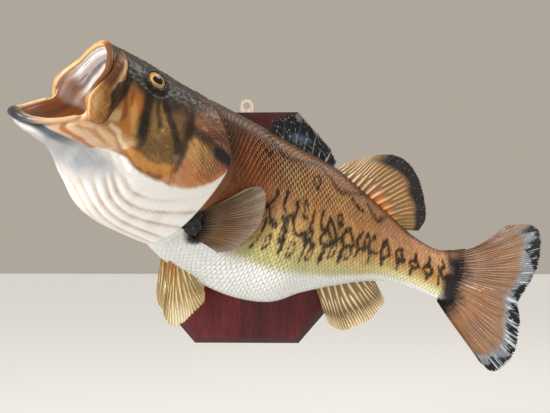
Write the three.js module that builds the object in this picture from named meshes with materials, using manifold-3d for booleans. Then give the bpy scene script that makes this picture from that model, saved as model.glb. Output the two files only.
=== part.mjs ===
// A mounted largemouth bass on its wall board, in millimetres.
// Origin: centre of the board's back face. +X to the viewer's right, +Z up, the wall lies at Y = 0 and
// the fish stands out from it toward -Y, head up and to the left, turned out from the wall.
// The fish is drawn flat in its own mid-plane first, then curved by two sideways bends.
import * as THREE from "three";
import { mergeVertices } from "three/addons/utils/BufferGeometryUtils.js";
import Module from "manifold-3d";

const wasm = await Module();
wasm.setup();

// ---- driving dimensions (mm) ----
const GAP = 0.4; // clearance between neighbouring pieces
const MID_Y = -64; // the fish's mid-plane before it is bent
const SEAT_Y = -19.4; // the flattened far side that rests against the board
const RING_SIDES = 24; // facets round the body
const CORNER_SOFTNESS = 0.12; // rounding of each ring at its widest level
const LOWER_FULLNESS = 0.85; // below 1 the belly is fuller than an ellipse

const HEAD_BEND = { x: 60, z: 20, dx: -0.87, dz: 0.5, angle: 40, length: 135 };
const TAIL_BEND = { x: 150, z: -12, dx: 0.93, dz: -0.36, angle: 16, length: 110 };

// Stations along the fish: top x z, widest level x z, bottom x z, half width, swell of the lower half.
const HEAD_STATIONS = [
  [-168, 204, -200, 138, -262, 133, 50, 4],
  [-146, 194, -186, 127, -255, 119, 52, 4],
  [-125, 184, -157, 114, -226, 96, 54, 4],
  [-104, 173, -125, 99, -211, 66, 56, 6],
  [-79, 160, -77, 85, -187, 26, 58, 8],
  [-56, 149, -41, 78, -128, -9, 57, 9],
];
const BODY_STATIONS = [
  [-49, 146, -27, 63, -113, -19, 46, 2],
  [-14, 130, 14, 27, -77, -50, 50, 0],
  [29, 109, 35, 12, -22, -79, 52, 0],
  [68, 88, 68, 1, 28, -88, 50, 0],
  [103, 69, 99, -8, 66, -77, 42, 0],
  [136, 41, 131, -17, 105, -69, 34, 0],
  [166, 14, 162, -28, 143, -64, 25, 0],
  [193, -11, 193, -41, 179, -68, 17, 0],
  [219, -27, 221, -52, 210, -80, 11, 0],
  [238, -28, 238, -57, 229, -88, 8, 0],
];
const TAIL_START = 6.4; // body station where the tail stalk is parted from the trunk
// Walls of the mouth from the gullet out to the lips: station, size against the outer ring.
const MOUTH_WALL = [
  [2.8, 0.36],
  [2.0, 0.58],
  [1.1, 0.75],
  [0.3, 0.85],
  [0.02, 0.91],
];
const GULLET_STATION = 3.3;
const LIP_ROUND = [0.0, 0.965];
const RIM_ADVANCE = 0.42; // how far the near end of the upper rim runs ahead of its station
const FLAP_DEPTH = 0.2; // how far the gill flap reaches back over the shoulder, in stations
const FLAP_INNER = 0.975;
const SHOULDER = 0.86; // shoulder ring under the flap against the flap's ring

const EYE = { station: 2.22, angle: 34, radius: 13, proud: 5.2 };
const PLATE_SINK = 2.4;
const REAR_SINK = 1;
const BOARD = { width: 205, height: 280, thick: 19, cornerX: 40, cornerZ: 46, bevel: 6.5, bevelDeep: 6, ease: 1.2 };
const HANGER = { x: -1, width: 16, below: 42, above: 18, thick: 2, inset: -0.4, hole: 4.6, screw: 2.6 };
const SCREW_LENGTH = 9;
const UPPER_LIP = { reach: 88, radius: 4.6 };
const LOWER_LIP = { start: 100, radius: 4.2 };
const LIP_SEGMENTS = 12;

// ---- colours ----
const look = (color, roughness, metalness = 0) => ({ color, roughness, metalness });
const SKIN_BROWN = look(0xa0713a, 0.4);
const SKIN_DARK = look(0x5d4a30, 0.38);
const SKIN_PALE = look(0xe6ddcf, 0.42);
const JAW_ORANGE = look(0xb98350, 0.36);
const FIN_BROWN = look(0x8d6a45, 0.4);
const FIN_CREAM = look(0xb59f70, 0.4);
const FIN_DARK = look(0x2b2a2a, 0.3);
const AMBER = look(0xb98442, 0.12);
const MAHOGANY = look(0x5c1f18, 0.35);
const STEEL = look(0xcfc9bd, 0.35, 0.9);

// ---- small maths ----
const rad = THREE.MathUtils.degToRad;
const mix = THREE.MathUtils.lerp;
const clamp = THREE.MathUtils.clamp;
const ramp = (x, from, to) => THREE.MathUtils.smoothstep(x, from, to);
const bump = (x, from, peak, to) => ramp(x, from, peak) * (1 - ramp(x, peak, to));
const steps = (count) => Array.from({ length: count + 1 }, (_, i) => i / count);
const vec = (x, y, z) => new THREE.Vector3(x, y, z);

// Catmull-Rom curve through rows of numbers, with mirrored ends.
function curve(rows, t) {
  const last = rows.length - 1;
  const i = clamp(Math.floor(t), 0, last - 1);
  const f = t - i;
  return rows[i].map((_, k) => {
    const b = rows[i][k];
    const c = rows[i + 1][k];
    const a = i > 0 ? rows[i - 1][k] : 2 * b - c;
    const d = i < last - 1 ? rows[i + 2][k] : 2 * c - b;
    const square = 2 * a - 5 * b + 4 * c - d;
    const cube = 3 * b - a - 3 * c + d;
    return 0.5 * (2 * b + (c - a) * f + square * f * f + cube * f * f * f);
  });
}

// Bends everything beyond the hinge line sideways, toward -Y, along an arc and then straight on.
function bend(p, hinge) {
  const size = Math.hypot(hinge.dx, hinge.dz);
  const dx = hinge.dx / size;
  const dz = hinge.dz / size;
  const along = (p.x - hinge.x) * dx + (p.z - hinge.z) * dz;
  if (along <= 0) return p.clone();
  const across = -(p.x - hinge.x) * dz + (p.z - hinge.z) * dx;
  const radius = hinge.length / rad(hinge.angle);
  const turn = Math.min(along, hinge.length) / radius;
  const rest = Math.max(along - hinge.length, 0);
  const reach = radius - (MID_Y - p.y);
  const forward = reach * Math.sin(turn) + rest * Math.cos(turn);
  const side = radius - reach * Math.cos(turn) + rest * Math.sin(turn);
  return vec(hinge.x + forward * dx - across * dz, MID_Y - side, hinge.z + forward * dz + across * dx);
}
const pose = (p) => bend(bend(p, HEAD_BEND), TAIL_BEND);

// ---- the body's surface ----
// A point on station t at angle a (0 top, 90 near side, 180 bottom, 270 far side),
// scaled about the ring's centre.
function ringPoint(rows, t, a, scale = 1) {
  const fold = a > 180 ? a - 360 : a;
  const early = rows === HEAD_STATIONS ? RIM_ADVANCE * bump(fold, 45, 78, 100) * clamp(1 - t, 0, 1) : 0;
  const [tx, tz, mx, mz, bx, bz, half, swell] = curve(rows, t - early);
  const c = Math.cos(rad(a));
  const s = Math.sin(rad(a));
  const soft = Math.sqrt(c * c + CORNER_SOFTNESS * CORNER_SOFTNESS);
  const full = 1 + Math.sqrt(1 + CORNER_SOFTNESS * CORNER_SOFTNESS);
  const up = (soft + c) / full;
  const down = (soft - c) / full;
  const lowX = bx - mx;
  const lowZ = bz - mz;
  const bulge = (c < 0 ? 2 * swell * Math.abs(c * s) : 0) / Math.hypot(lowX, lowZ);
  const x = mx + (tx - mx) * up + lowX * down - lowZ * bulge;
  const z = mz + (tz - mz) * up + lowZ * down + lowX * bulge;
  const side = half * Math.sign(s) * Math.abs(s) ** (c < 0 ? LOWER_FULLNESS : 1);
  const centreX = mx + 0.25 * (tx - mx + lowX);
  const centreZ = mz + 0.25 * (tz - mz + lowZ);
  return vec(mix(centreX, x, scale), MID_Y - side * scale, mix(centreZ, z, scale));
}
const angles = Array.from({ length: RING_SIDES }, (_, i) => (360 * i) / RING_SIDES);
const ring = (rows, t, scale) => angles.map((a) => ringPoint(rows, t, a, scale));

// Outward unit normal of the posed surface.
function normalAt(rows, t, a) {
  const here = pose(ringPoint(rows, t, a));
  const onward = pose(ringPoint(rows, t + 0.02, a)).sub(here);
  const round = pose(ringPoint(rows, t, a + 1)).sub(here);
  return onward.cross(round).normalize().negate();
}
const onSkin = (rows, t, a, height) =>
  pose(ringPoint(rows, t, a)).addScaledVector(normalAt(rows, t, a), height);

// How much of the gill flap there is at each angle: none over the nape, some under the throat.
function flapShare(a) {
  const fold = Math.min(a, 360 - a);
  return ramp(fold, 20, 60) * mix(1, 0.45, ramp(fold, 140, 180));
}
const flapEdge = () => angles.map((a) => ringPoint(HEAD_STATIONS, 5, a, mix(1, FLAP_INNER, flapShare(a))));
const shoulderStation = (a) => 5 - FLAP_DEPTH * flapShare(a);
const shoulderRing = (shrink) =>
  angles.map((a) => ringPoint(HEAD_STATIONS, shoulderStation(a), a, shrink * mix(1, SHOULDER, flapShare(a))));
const shoulderCentre = () => ringPoint(HEAD_STATIONS, 5 - FLAP_DEPTH, 0, 0);

// ---- solids ----
function solidOf(geometry) {
  const bare = geometry.clone();
  bare.deleteAttribute("normal");
  bare.deleteAttribute("uv");
  const merged = mergeVertices(bare, 1e-3);
  const points = merged.attributes.position;
  const order = [];
  let volume = 0;
  const corner = (i) => new THREE.Vector3().fromBufferAttribute(points, i);
  for (let i = 0; i < merged.index.count; i += 3) {
    const [a, b, c] = [0, 1, 2].map((k) => merged.index.getX(i + k));
    if (a === b || b === c || c === a) continue;
    order.push([a, b, c]);
    volume += corner(a).dot(corner(b).cross(corner(c)));
  }
  const triVerts = new Uint32Array(order.flatMap(([a, b, c]) => (volume < 0 ? [a, c, b] : [a, b, c])));
  const vertProperties = new Float32Array(points.array);
  return new wasm.Manifold(new wasm.Mesh({ numProp: 3, vertProperties, triVerts }));
}

function geometryOf(solid) {
  const { numProp, vertProperties, triVerts } = solid.getMesh();
  const corners = [];
  for (let i = 0; i < vertProperties.length; i += numProp) corners.push(...vertProperties.slice(i, i + 3));
  const geometry = new THREE.BufferGeometry();
  geometry.setAttribute("position", new THREE.Float32BufferAttribute(corners, 3));
  geometry.setIndex([...triVerts]);
  return geometry;
}

// The same body with every corner moved out along its normal.
function swollen(solid, by) {
  const geometry = geometryOf(solid);
  geometry.computeVertexNormals();
  const { position, normal } = geometry.attributes;
  for (let i = 0; i < position.count; i++) {
    position.setXYZ(
      i,
      position.getX(i) + by * normal.getX(i),
      position.getY(i) + by * normal.getY(i),
      position.getZ(i) + by * normal.getZ(i),
    );
  }
  return solidOf(geometry);
}

function geometryFrom(points, faces) {
  const geometry = new THREE.BufferGeometry().setFromPoints(points);
  return geometry.setIndex(faces.flat());
}

// A closed body through rings of equal count, ended by one point each.
function ringBody(start, rings, end) {
  const count = rings[0].length;
  const points = [start, ...rings.flat(), end];
  const at = (row, i) => 1 + row * count + (i % count);
  const last = rings.length - 1;
  const faces = [];
  for (let i = 0; i < count; i++) {
    faces.push([0, at(0, i + 1), at(0, i)]);
    for (let row = 0; row < last; row++) {
      faces.push([at(row, i), at(row, i + 1), at(row + 1, i + 1)]);
      faces.push([at(row, i), at(row + 1, i + 1), at(row + 1, i)]);
    }
    faces.push([points.length - 1, at(last, i), at(last, i + 1)]);
  }
  return solidOf(geometryFrom(points, faces));
}

// A closed slab between two four-sided sheets, each given by a function of (u, v) in 0..1.
function slab(columns, rows, front, back) {
  const sheet = (f) => steps(columns).flatMap((u) => steps(rows).map((v) => f(u, v)));
  const points = [...sheet(front), ...sheet(back)];
  const size = points.length / 2;
  const at = (side, i, j) => side * size + i * (rows + 1) + j;
  const faces = [];
  const quad = (a, b, c, d) => faces.push([a, b, c], [a, c, d]);
  for (let i = 0; i < columns; i++) {
    for (let j = 0; j < rows; j++) {
      quad(at(0, i, j), at(0, i + 1, j), at(0, i + 1, j + 1), at(0, i, j + 1));
      quad(at(1, i, j), at(1, i, j + 1), at(1, i + 1, j + 1), at(1, i + 1, j));
    }
    quad(at(0, i + 1, 0), at(0, i, 0), at(1, i, 0), at(1, i + 1, 0));
    quad(at(0, i, rows), at(0, i + 1, rows), at(1, i + 1, rows), at(1, i, rows));
  }
  for (let j = 0; j < rows; j++) {
    quad(at(0, 0, j), at(0, 0, j + 1), at(1, 0, j + 1), at(1, 0, j));
    quad(at(0, columns, j + 1), at(0, columns, j), at(1, columns, j), at(1, columns, j + 1));
  }
  return solidOf(geometryFrom(points, faces));
}

function boxSolid(width, depth, height, x, y, z) {
  return solidOf(new THREE.BoxGeometry(width, depth, height).translate(x, y, z));
}

// ---- head and body as whole solids ----
const spread = (from, to, count) => steps(count).map((f) => mix(from, to, f));
const posed = (points) => points.map(pose);

const headRings = [
  ...MOUTH_WALL.map(([t, scale]) => ring(HEAD_STATIONS, t, scale)),
  ring(HEAD_STATIONS, ...LIP_ROUND),
  ...spread(0.12, 5, 10).map((t) => ring(HEAD_STATIONS, t)),
  flapEdge(),
  shoulderRing(1),
].map(posed);
const gullet = pose(ringPoint(HEAD_STATIONS, GULLET_STATION, 0, 0));
const fullHead = ringBody(gullet, headRings, pose(shoulderCentre()));

const backward = vec(GAP * 0.87, 0, -GAP * 0.5);
const shifted = (points) => points.map((p) => p.clone().add(backward));
const bodyEnd = BODY_STATIONS.length - 1;
const trunkRings = [
  shifted(shoulderRing(1)),
  ...spread(0, TAIL_START, 12).map((t) => ring(BODY_STATIONS, t)),
].map(posed);
const trunkStart = pose(shoulderCentre().add(backward));
const trunkEnd = pose(ringPoint(BODY_STATIONS, TAIL_START, 0, 0));
const stalkRings = [
  shifted(ring(BODY_STATIONS, TAIL_START)),
  ...spread(TAIL_START + 0.4, bodyEnd, 5).map((t) => ring(BODY_STATIONS, t)),
].map(posed);
const stalkStart = pose(ringPoint(BODY_STATIONS, TAIL_START, 0, 0).add(backward));
const stalkEnd = pose(ringPoint(BODY_STATIONS, bodyEnd, 0, 0));

const wallSide = boxSolid(900, 200, 900, 0, SEAT_Y + 100, 0);
const offWall = (solid) => solid.subtract(wallSide);

const fullTrunk = ringBody(trunkStart, trunkRings, trunkEnd);
const fullStalk = ringBody(stalkStart, stalkRings, stalkEnd);
const headKeepOut = swollen(fullHead, GAP);
const trunkKeepOut = swollen(fullTrunk, GAP);
const stalkKeepOut = swollen(fullStalk, GAP);
const clearOfBody = (solid) =>
  offWall(solid.subtract(headKeepOut).subtract(trunkKeepOut).subtract(stalkKeepOut));

// ---- parting the head ----
// A wall through the whole head over a line in the flat mid-plane, reaching far below it.
function curtain(line, drop) {
  const wide = 90;
  const cuts = 2;
  const edge = (u, v, y) => {
    const [x, z] = curve(line, u * (line.length - 1));
    return pose(vec(x, y, z + drop * v));
  };
  const near = (u, v) => edge(u, v, MID_Y - wide);
  const far = (u, v) => edge(u, v, MID_Y + wide);
  return slab((line.length - 1) * cuts, 3, near, far);
}
const CHEEK_LINE = [
  [-330, 150],
  [-262, 142],
  [-200, 137],
  [-189, 115],
  [-178, 93],
  [-157, 73],
  [-117, 62],
  [-80, 62],
  [-41, 74],
  [20, 74],
];
const raised = (line, by) => line.map(([x, z]) => [x, z + by]);
const THROAT_LINE = [
  [60, 150],
  [-60, 125],
  [-150, 100],
  [-176, 86],
  [-200, 74],
  [-225, 64],
  [-290, 50],
];
const belowCheek = curtain(CHEEK_LINE, -260);
const belowCheekWide = curtain(raised(CHEEK_LINE, GAP), -261);
const behindJaw = curtain(THROAT_LINE, -260);
const behindJawWide = curtain(raised(THROAT_LINE, GAP), -261);

// ---- eyes ----
const eyeAngle = { left: EYE.angle, right: 360 - EYE.angle };
const eyeCentre = (side) => onSkin(HEAD_STATIONS, EYE.station, eyeAngle[side], EYE.proud - EYE.radius);
const ball = (centre, radius) =>
  solidOf(new THREE.SphereGeometry(radius, 14, 8).translate(centre.x, centre.y, centre.z));

// ---- plates lying on the skin ----
const mirrored = (a, side) => (side === "left" ? a : 360 - a);
// place(u, v) gives [station, angle], height(u, v) the rise off the skin.
function plate(side, columns, rows, place, height, deeper = 0) {
  const at = (u, v, rise) => {
    const [t, a] = place(u, v);
    return onSkin(HEAD_STATIONS, t, mirrored(a, side), rise);
  };
  const outer = (u, v) => at(u, v, height(u, v));
  const inner = (u, v) => at(u, v, -deeper - mix(PLATE_SINK, REAR_SINK, u));
  return slab(columns, rows, outer, inner);
}
const arch = (x) => Math.sqrt(Math.max(0, 1 - (2 * x - 1) ** 2));

// Gill cover: from the cheek's rear edge back to the pointed rear tip.
const COVER_FRONT = [[3.62, 30], [3.66, 46], [3.5, 70], [3.42, 84], [3.7, 99], [4.06, 109]];
const COVER_REAR = [[3.72, 27], [4.15, 50], [4.82, 70], [4.94, 88], [4.86, 106], [4.6, 120]];
const gillCover = (side) =>
  plate(
    side,
    5,
    8,
    (u, v) => {
      const front = curve(COVER_FRONT, v * 5);
      const rear = curve(COVER_REAR, v * 5);
      return [mix(front[0], rear[0], u), mix(front[1], rear[1], u)];
    },
    (u, v) => 1.6 + 2.2 * arch(mix(0.5, 0.98, u)) + 0.8 * arch(v),
  );

// Cheek: the swollen muscle between the eye, the jaw joint and the gill cover.
const CHEEK_FRONT = [[1.5, 62], [1.5, 78], [1.72, 96], [2.15, 110], [2.75, 118]];
const CHEEK_REAR = [[3.45, 36], [3.42, 60], [3.2, 84], [3.52, 98], [3.85, 109]];
const cheek = (side) =>
  plate(
    side,
    6,
    7,
    (u, v) => {
      const front = curve(CHEEK_FRONT, v * 4);
      const rear = curve(CHEEK_REAR, v * 4);
      return [mix(front[0], rear[0], u), mix(front[1], rear[1], u)];
    },
    (u, v) => 1.5 + 3.2 * arch(mix(0.04, 0.96, u)) * arch(mix(0.04, 0.9, v)),
  );

// Upper jaw blade: narrow by the snout, broad and rounded below the mouth's corner.
const BLADE_LINE = [[0.62, 22], [0.68, 42], [0.5, 60], [0.36, 78], [0.3, 95]];
const BLADE_HALF = [[0.12], [0.17], [0.32], [0.36], [0.24]];
// room is 0 for the blade itself and 1 for the space kept free round it.
const jawBlade = (side, room) =>
  plate(
    side,
    4,
    9,
    (u, v) => {
      const [t, a] = curve(BLADE_LINE, v * 4);
      const [half] = curve(BLADE_HALF, v * 4);
      return [t + (half + 0.04 * room) * (2 * u - 1), a + 2.5 * room * (2 * v - 1)];
    },
    (u, v) => 2.2 + 4.2 * arch(mix(0.08, 0.92, u)) * ramp(v, 0, 0.3) + room,
    room,
  );

// ---- lips: rounded rods along the mouth's rim ----
function lip(fromAngle, toAngle, size) {
  const sides = 6;
  const centre = (f) => {
    return pose(ringPoint(HEAD_STATIONS, 0.02, mix(fromAngle, toAngle, f), 0.955));
  };
  const section = (f) => {
    const here = centre(f);
    const ahead = centre(f + 0.01).sub(centre(f - 0.01)).normalize();
    const out = here.clone().sub(pose(ringPoint(HEAD_STATIONS, 0.02, 0, 0)));
    const across = out.addScaledVector(ahead, -out.dot(ahead)).normalize();
    const other = across.clone().cross(ahead);
    return Array.from({ length: sides }, (_, k) => {
      const turn = (2 * Math.PI * k) / sides;
      return here
        .clone()
        .addScaledVector(across, size * Math.cos(turn))
        .addScaledVector(other, size * 0.85 * Math.sin(turn));
    });
  };
  return ringBody(centre(0), steps(LIP_SEGMENTS).map(section), centre(1));
}

// ---- fins ----
// A fan of rays between a root line and a tip line of [x, sideways, z], ridged along each ray.
function fin({ root, tip, rays, rootThick, tipThick, rows = 2, cup = 0, waist = 0 }) {
  const middle = (u, v) => {
    const a = curve(root, u * (root.length - 1));
    const b = curve(tip, u * (tip.length - 1));
    const bow = cup * Math.sin(Math.PI * v) * Math.sin(Math.PI * u);
    const sag = waist * Math.sin(Math.PI * v) * (1 - u) * (1 - u);
    const [x, side, z] = a.map((value, k) => mix(value, b[k], v));
    return pose(vec(x, MID_Y - side - bow, z - sag));
  };
  const normal = (u, v) => {
    const here = middle(u, v);
    const across = middle(u + 0.01, v).sub(here);
    const along = middle(u, v + 0.01).sub(here);
    return across.cross(along).normalize();
  };
  const half = (u, v) => {
    const ridge = 0.72 + 0.28 * Math.cos(2 * Math.PI * rays * u);
    return (0.5 * mix(rootThick, tipThick, v ** 0.7)) * ridge;
  };
  const face = (sign) => (u, v) => middle(u, v).addScaledVector(normal(u, v), sign * half(u, v));
  return slab(rays * 2, rows, face(1), face(-1));
}
const flat = (points) => points.map(([x, z]) => [x, 0, z]);
const otherSide = (points, squeeze) => points.map(([x, side, z]) => [x, -side * squeeze, z]);

const CAUDAL = {
  root: flat([[230, -31], [230, -57], [220, -86]]),
  tip: flat([
    [298, -1], [324, -1], [334, -11], [334, -30], [329, -52], [319, -70],
    [309, -88], [310, -110], [304, -140], [292, -157], [279, -163], [266, -153],
  ]),
  rays: 13,
  rootThick: 9,
  tipThick: 1.2,
  cup: 4,
  waist: 9,
  rows: 3,
};
const SOFT_DORSAL = {
  root: flat([[104, 56], [121, 42], [138, 27], [155, 10], [172, -6]]),
  tip: flat([
    [115, 71], [143, 79], [160, 82], [178, 80], [193, 69],
    [203, 50], [208, 27], [209, 8], [201, -6],
  ]),
  rays: 10,
  rootThick: 7,
  tipThick: 1.2,
  cup: 3,
};
const SPINY_DORSAL = {
  root: flat([[28, 98], [65, 78], [102, 58]]),
  tip: flat([[31, 121], [44, 127], [57, 129], [71, 121], [86, 106], [97, 92], [107, 76]]),
  rays: 9,
  rootThick: 6,
  tipThick: 1.4,
};
const ANAL = {
  root: flat([[80, -62], [112, -58], [146, -54]]),
  tip: flat([
    [96, -111], [105, -118], [116, -120], [131, -114],
    [146, -106], [157, -94], [161, -86], [157, -77],
  ]),
  rays: 9,
  rootThick: 7,
  tipThick: 1.2,
  cup: -2,
};
const PECTORAL = {
  root: [[-81, 36, 22], [-79, 36, 12], [-72, 34, -2]],
  tip: [
    [-16, 62, 51], [5, 62, 50], [16, 62, 38], [17, 61, 20], [14, 60, 4],
    [1, 58, -9], [-17, 56, -20], [-40, 53, -22],
  ],
  rays: 9,
  rows: 3,
  rootThick: 8,
  tipThick: 1.2,
  cup: 4,
};
const PELVIC = {
  root: [[-90, 12, -30], [-82, 12, -34], [-72, 12, -38]],
  tip: [
    [-99, 25, -79], [-96, 26, -96], [-85, 27, -109], [-71, 27, -105],
    [-57, 25, -93], [-47, 23, -84], [-46, 21, -74],
  ],
  rays: 6,
  rootThick: 8,
  tipThick: 1.4,
  cup: 3,
};
const FAR_PECTORAL = {
  ...PECTORAL,
  root: [[-78, -38, 22], [-76, -38, 12], [-70, -37, 0]],
  tip: [
    [-38, -54, 42], [-24, -54, 40], [-14, -54, 32], [-12, -53, 18], [-14, -53, 4],
    [-22, -53, -8], [-34, -53, -15], [-48, -52, -18],
  ],
  cup: -5,
};
const FAR_PELVIC = { ...PELVIC, tip: otherSide(PELVIC.tip, 0.75), root: otherSide(PELVIC.root, 1) };
FAR_PELVIC.tip = FAR_PELVIC.tip.map(([x, side, z]) => [x + 2, side, z + 2]);

// ---- board and hanger ----
function octagon(inset) {
  const x = BOARD.width / 2 - inset;
  const z = BOARD.height / 2 - inset;
  const trim = inset * (Math.SQRT2 - 1);
  const cutX = BOARD.cornerX - trim;
  const cutZ = BOARD.cornerZ - trim;
  return [
    [x - cutX, z], [x, z - cutZ], [x, cutZ - z], [x - cutX, -z],
    [cutX - x, -z], [-x, cutZ - z], [-x, z - cutZ], [cutX - x, z],
  ];
}
const boardRing = (inset, y) => octagon(inset).map(([x, z]) => vec(x, y, z));
const boardSolid = () =>
  ringBody(
    vec(0, 0, 0),
    [
      boardRing(BOARD.ease, 0),
      boardRing(0, -BOARD.ease),
      boardRing(0, BOARD.bevelDeep - BOARD.thick),
      boardRing(BOARD.bevel, -BOARD.thick),
    ],
    vec(0, -BOARD.thick, 0),
  );

const boardTop = BOARD.height / 2;
// A round peg along Y on the hanger's centre line.
const peg = (radius, length, y, z) =>
  solidOf(new THREE.CylinderGeometry(radius, radius, length, 12).translate(HANGER.x, y, z));

// A flat bar with a round top, grown all round by a margin.
function roundedBar(margin) {
  const r = HANGER.width / 2 + margin;
  const low = boardTop - HANGER.below - margin;
  const centre = boardTop + HANGER.above - HANGER.width / 2;
  const shape = new THREE.Shape();
  shape.moveTo(HANGER.x - r, low);
  shape.lineTo(HANGER.x + r, low);
  shape.lineTo(HANGER.x + r, centre);
  shape.absarc(HANGER.x, centre, r, 0, Math.PI, false);
  shape.lineTo(HANGER.x - r, low);
  const rear = margin ? 1 : HANGER.inset;
  const depth = HANGER.thick + margin + rear - HANGER.inset;
  const body = new THREE.ExtrudeGeometry(shape, { depth, bevelEnabled: false, curveSegments: 8 });
  return solidOf(body.rotateX(Math.PI / 2).translate(0, rear, 0));
}
const screwHeights = [boardTop - 12, boardTop - 30];
const holeHeight = boardTop + HANGER.above - HANGER.width / 2;

// ---- assembly ----
const part = new THREE.Group();
part.name = "mounted_bass";

function addNode(name, solid, finish) {
  const geometry = geometryOf(solid);
  geometry.computeVertexNormals();
  const mesh = new THREE.Mesh(geometry, new THREE.MeshStandardMaterial(finish));
  mesh.name = name;
  part.add(mesh);
}

const sides = ["left", "right"];
const eyeRooms = sides.map((side) => ball(eyeCentre(side), EYE.radius + GAP));
const clearOfEyes = (solid) => eyeRooms.reduce((rest, room) => rest.subtract(room), solid);
const bladeRooms = sides.map((side) => jawBlade(side, 1));
const clearOfBlades = (solid) => bladeRooms.reduce((rest, room) => rest.subtract(room), solid);

const lowerHead = offWall(fullHead.intersect(belowCheek));
addNode("head", offWall(clearOfEyes(fullHead.subtract(belowCheekWide))), SKIN_DARK);
addNode("lower_jaw", lowerHead.subtract(behindJawWide), JAW_ORANGE);
addNode("throat", lowerHead.intersect(behindJaw), SKIN_PALE);
addNode("trunk", offWall(fullTrunk), SKIN_BROWN);
addNode("tail_stalk", offWall(fullStalk), SKIN_BROWN);
const upperLip = lip(-UPPER_LIP.reach, UPPER_LIP.reach, UPPER_LIP.radius);
const lowerLip = lip(LOWER_LIP.start, 360 - LOWER_LIP.start, LOWER_LIP.radius);
addNode("upper_lip", clearOfBlades(clearOfBody(upperLip)), JAW_ORANGE);
addNode("lower_lip", clearOfBlades(clearOfBody(lowerLip)), FIN_DARK);
sides.forEach((side) => {
  addNode("eye_" + side, ball(eyeCentre(side), EYE.radius), AMBER);
  addNode("cheek_" + side, clearOfEyes(clearOfBody(cheek(side))), SKIN_BROWN);
  addNode("gill_cover_" + side, clearOfBody(gillCover(side)), SKIN_BROWN);
  addNode("maxilla_" + side, jawBlade(side, 0).subtract(headKeepOut), JAW_ORANGE);
});
addNode("spiny_dorsal_fin", clearOfBody(fin(SPINY_DORSAL)), FIN_DARK);
addNode("soft_dorsal_fin", clearOfBody(fin(SOFT_DORSAL)), FIN_BROWN);
addNode("caudal_fin", clearOfBody(fin(CAUDAL)), FIN_BROWN);
addNode("anal_fin", clearOfBody(fin(ANAL)), FIN_CREAM);
addNode("pectoral_fin_left", clearOfBody(fin(PECTORAL)), FIN_BROWN);
addNode("pectoral_fin_right", clearOfBody(fin(FAR_PECTORAL)), FIN_BROWN);
addNode("pelvic_fin_left", clearOfBody(fin(PELVIC)), FIN_CREAM);
addNode("pelvic_fin_right", clearOfBody(fin(FAR_PELVIC)), FIN_CREAM);

const screwRooms = screwHeights.map((z) => peg(HANGER.screw + GAP, 40, 0, z));
const screwPits = screwHeights.map((z) => peg(HANGER.screw + GAP, 12, -6, z));
const board = screwPits.reduce((rest, pit) => rest.subtract(pit), boardSolid().subtract(roundedBar(GAP)));
const plateHoles = [peg(HANGER.hole, 40, 0, holeHeight), ...screwRooms];
addNode("board", board, MAHOGANY);
addNode("hanger", plateHoles.reduce((rest, hole) => rest.subtract(hole), roundedBar(0)), STEEL);
screwHeights.forEach((z, i) => {
  addNode("screw_" + (i + 1), peg(HANGER.screw, SCREW_LENGTH, HANGER.inset - SCREW_LENGTH / 2, z), STEEL);
});

export default part;
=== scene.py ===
import math

import bpy
import numpy as np
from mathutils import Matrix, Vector


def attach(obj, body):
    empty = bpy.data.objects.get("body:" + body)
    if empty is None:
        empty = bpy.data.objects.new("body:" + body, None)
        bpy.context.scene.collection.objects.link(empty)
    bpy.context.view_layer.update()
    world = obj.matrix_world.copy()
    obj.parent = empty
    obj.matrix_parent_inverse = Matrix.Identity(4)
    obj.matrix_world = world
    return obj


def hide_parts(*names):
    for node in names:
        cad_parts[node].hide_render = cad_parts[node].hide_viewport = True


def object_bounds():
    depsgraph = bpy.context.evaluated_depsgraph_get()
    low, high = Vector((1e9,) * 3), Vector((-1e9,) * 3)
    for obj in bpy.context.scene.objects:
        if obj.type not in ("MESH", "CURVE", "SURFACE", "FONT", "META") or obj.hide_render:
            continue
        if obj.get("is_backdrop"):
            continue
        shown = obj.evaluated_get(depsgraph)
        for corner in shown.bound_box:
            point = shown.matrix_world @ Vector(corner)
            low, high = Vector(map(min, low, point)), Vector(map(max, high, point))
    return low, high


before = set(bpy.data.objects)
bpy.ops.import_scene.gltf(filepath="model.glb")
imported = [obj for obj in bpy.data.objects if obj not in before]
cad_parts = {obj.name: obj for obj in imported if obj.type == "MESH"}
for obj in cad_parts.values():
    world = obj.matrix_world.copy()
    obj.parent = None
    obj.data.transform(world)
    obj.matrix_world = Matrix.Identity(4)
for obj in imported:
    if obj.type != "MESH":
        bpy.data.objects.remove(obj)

bl_info = {
    "name": "Mounted Bass",
    "version": (1, 0, 0),
    "blender": (4, 5, 0),
    "location": "3D View > Sidebar > Mounted Bass",
    "description": "Skin, scales, fins and finishes for a mounted largemouth bass on its wall board",
    "category": "Add Mesh",
}

MM = 0.001
CAD_BOX = [list(corner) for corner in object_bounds()]
BAKE_MAP = "OFBake"


# ---- the fish's driving dimensions (mm), drawn flat and then bent ----
MID_Y = -64.0
SEAT_Y = -19.6
CORNER_SOFTNESS = 0.12
LOWER_FULLNESS = 0.85
HEAD_BEND = {"x": 60, "z": 20, "dx": -0.87, "dz": 0.5, "angle": 40, "length": 135}
TAIL_BEND = {"x": 150, "z": -12, "dx": 0.93, "dz": -0.36, "angle": 16, "length": 110}
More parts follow.
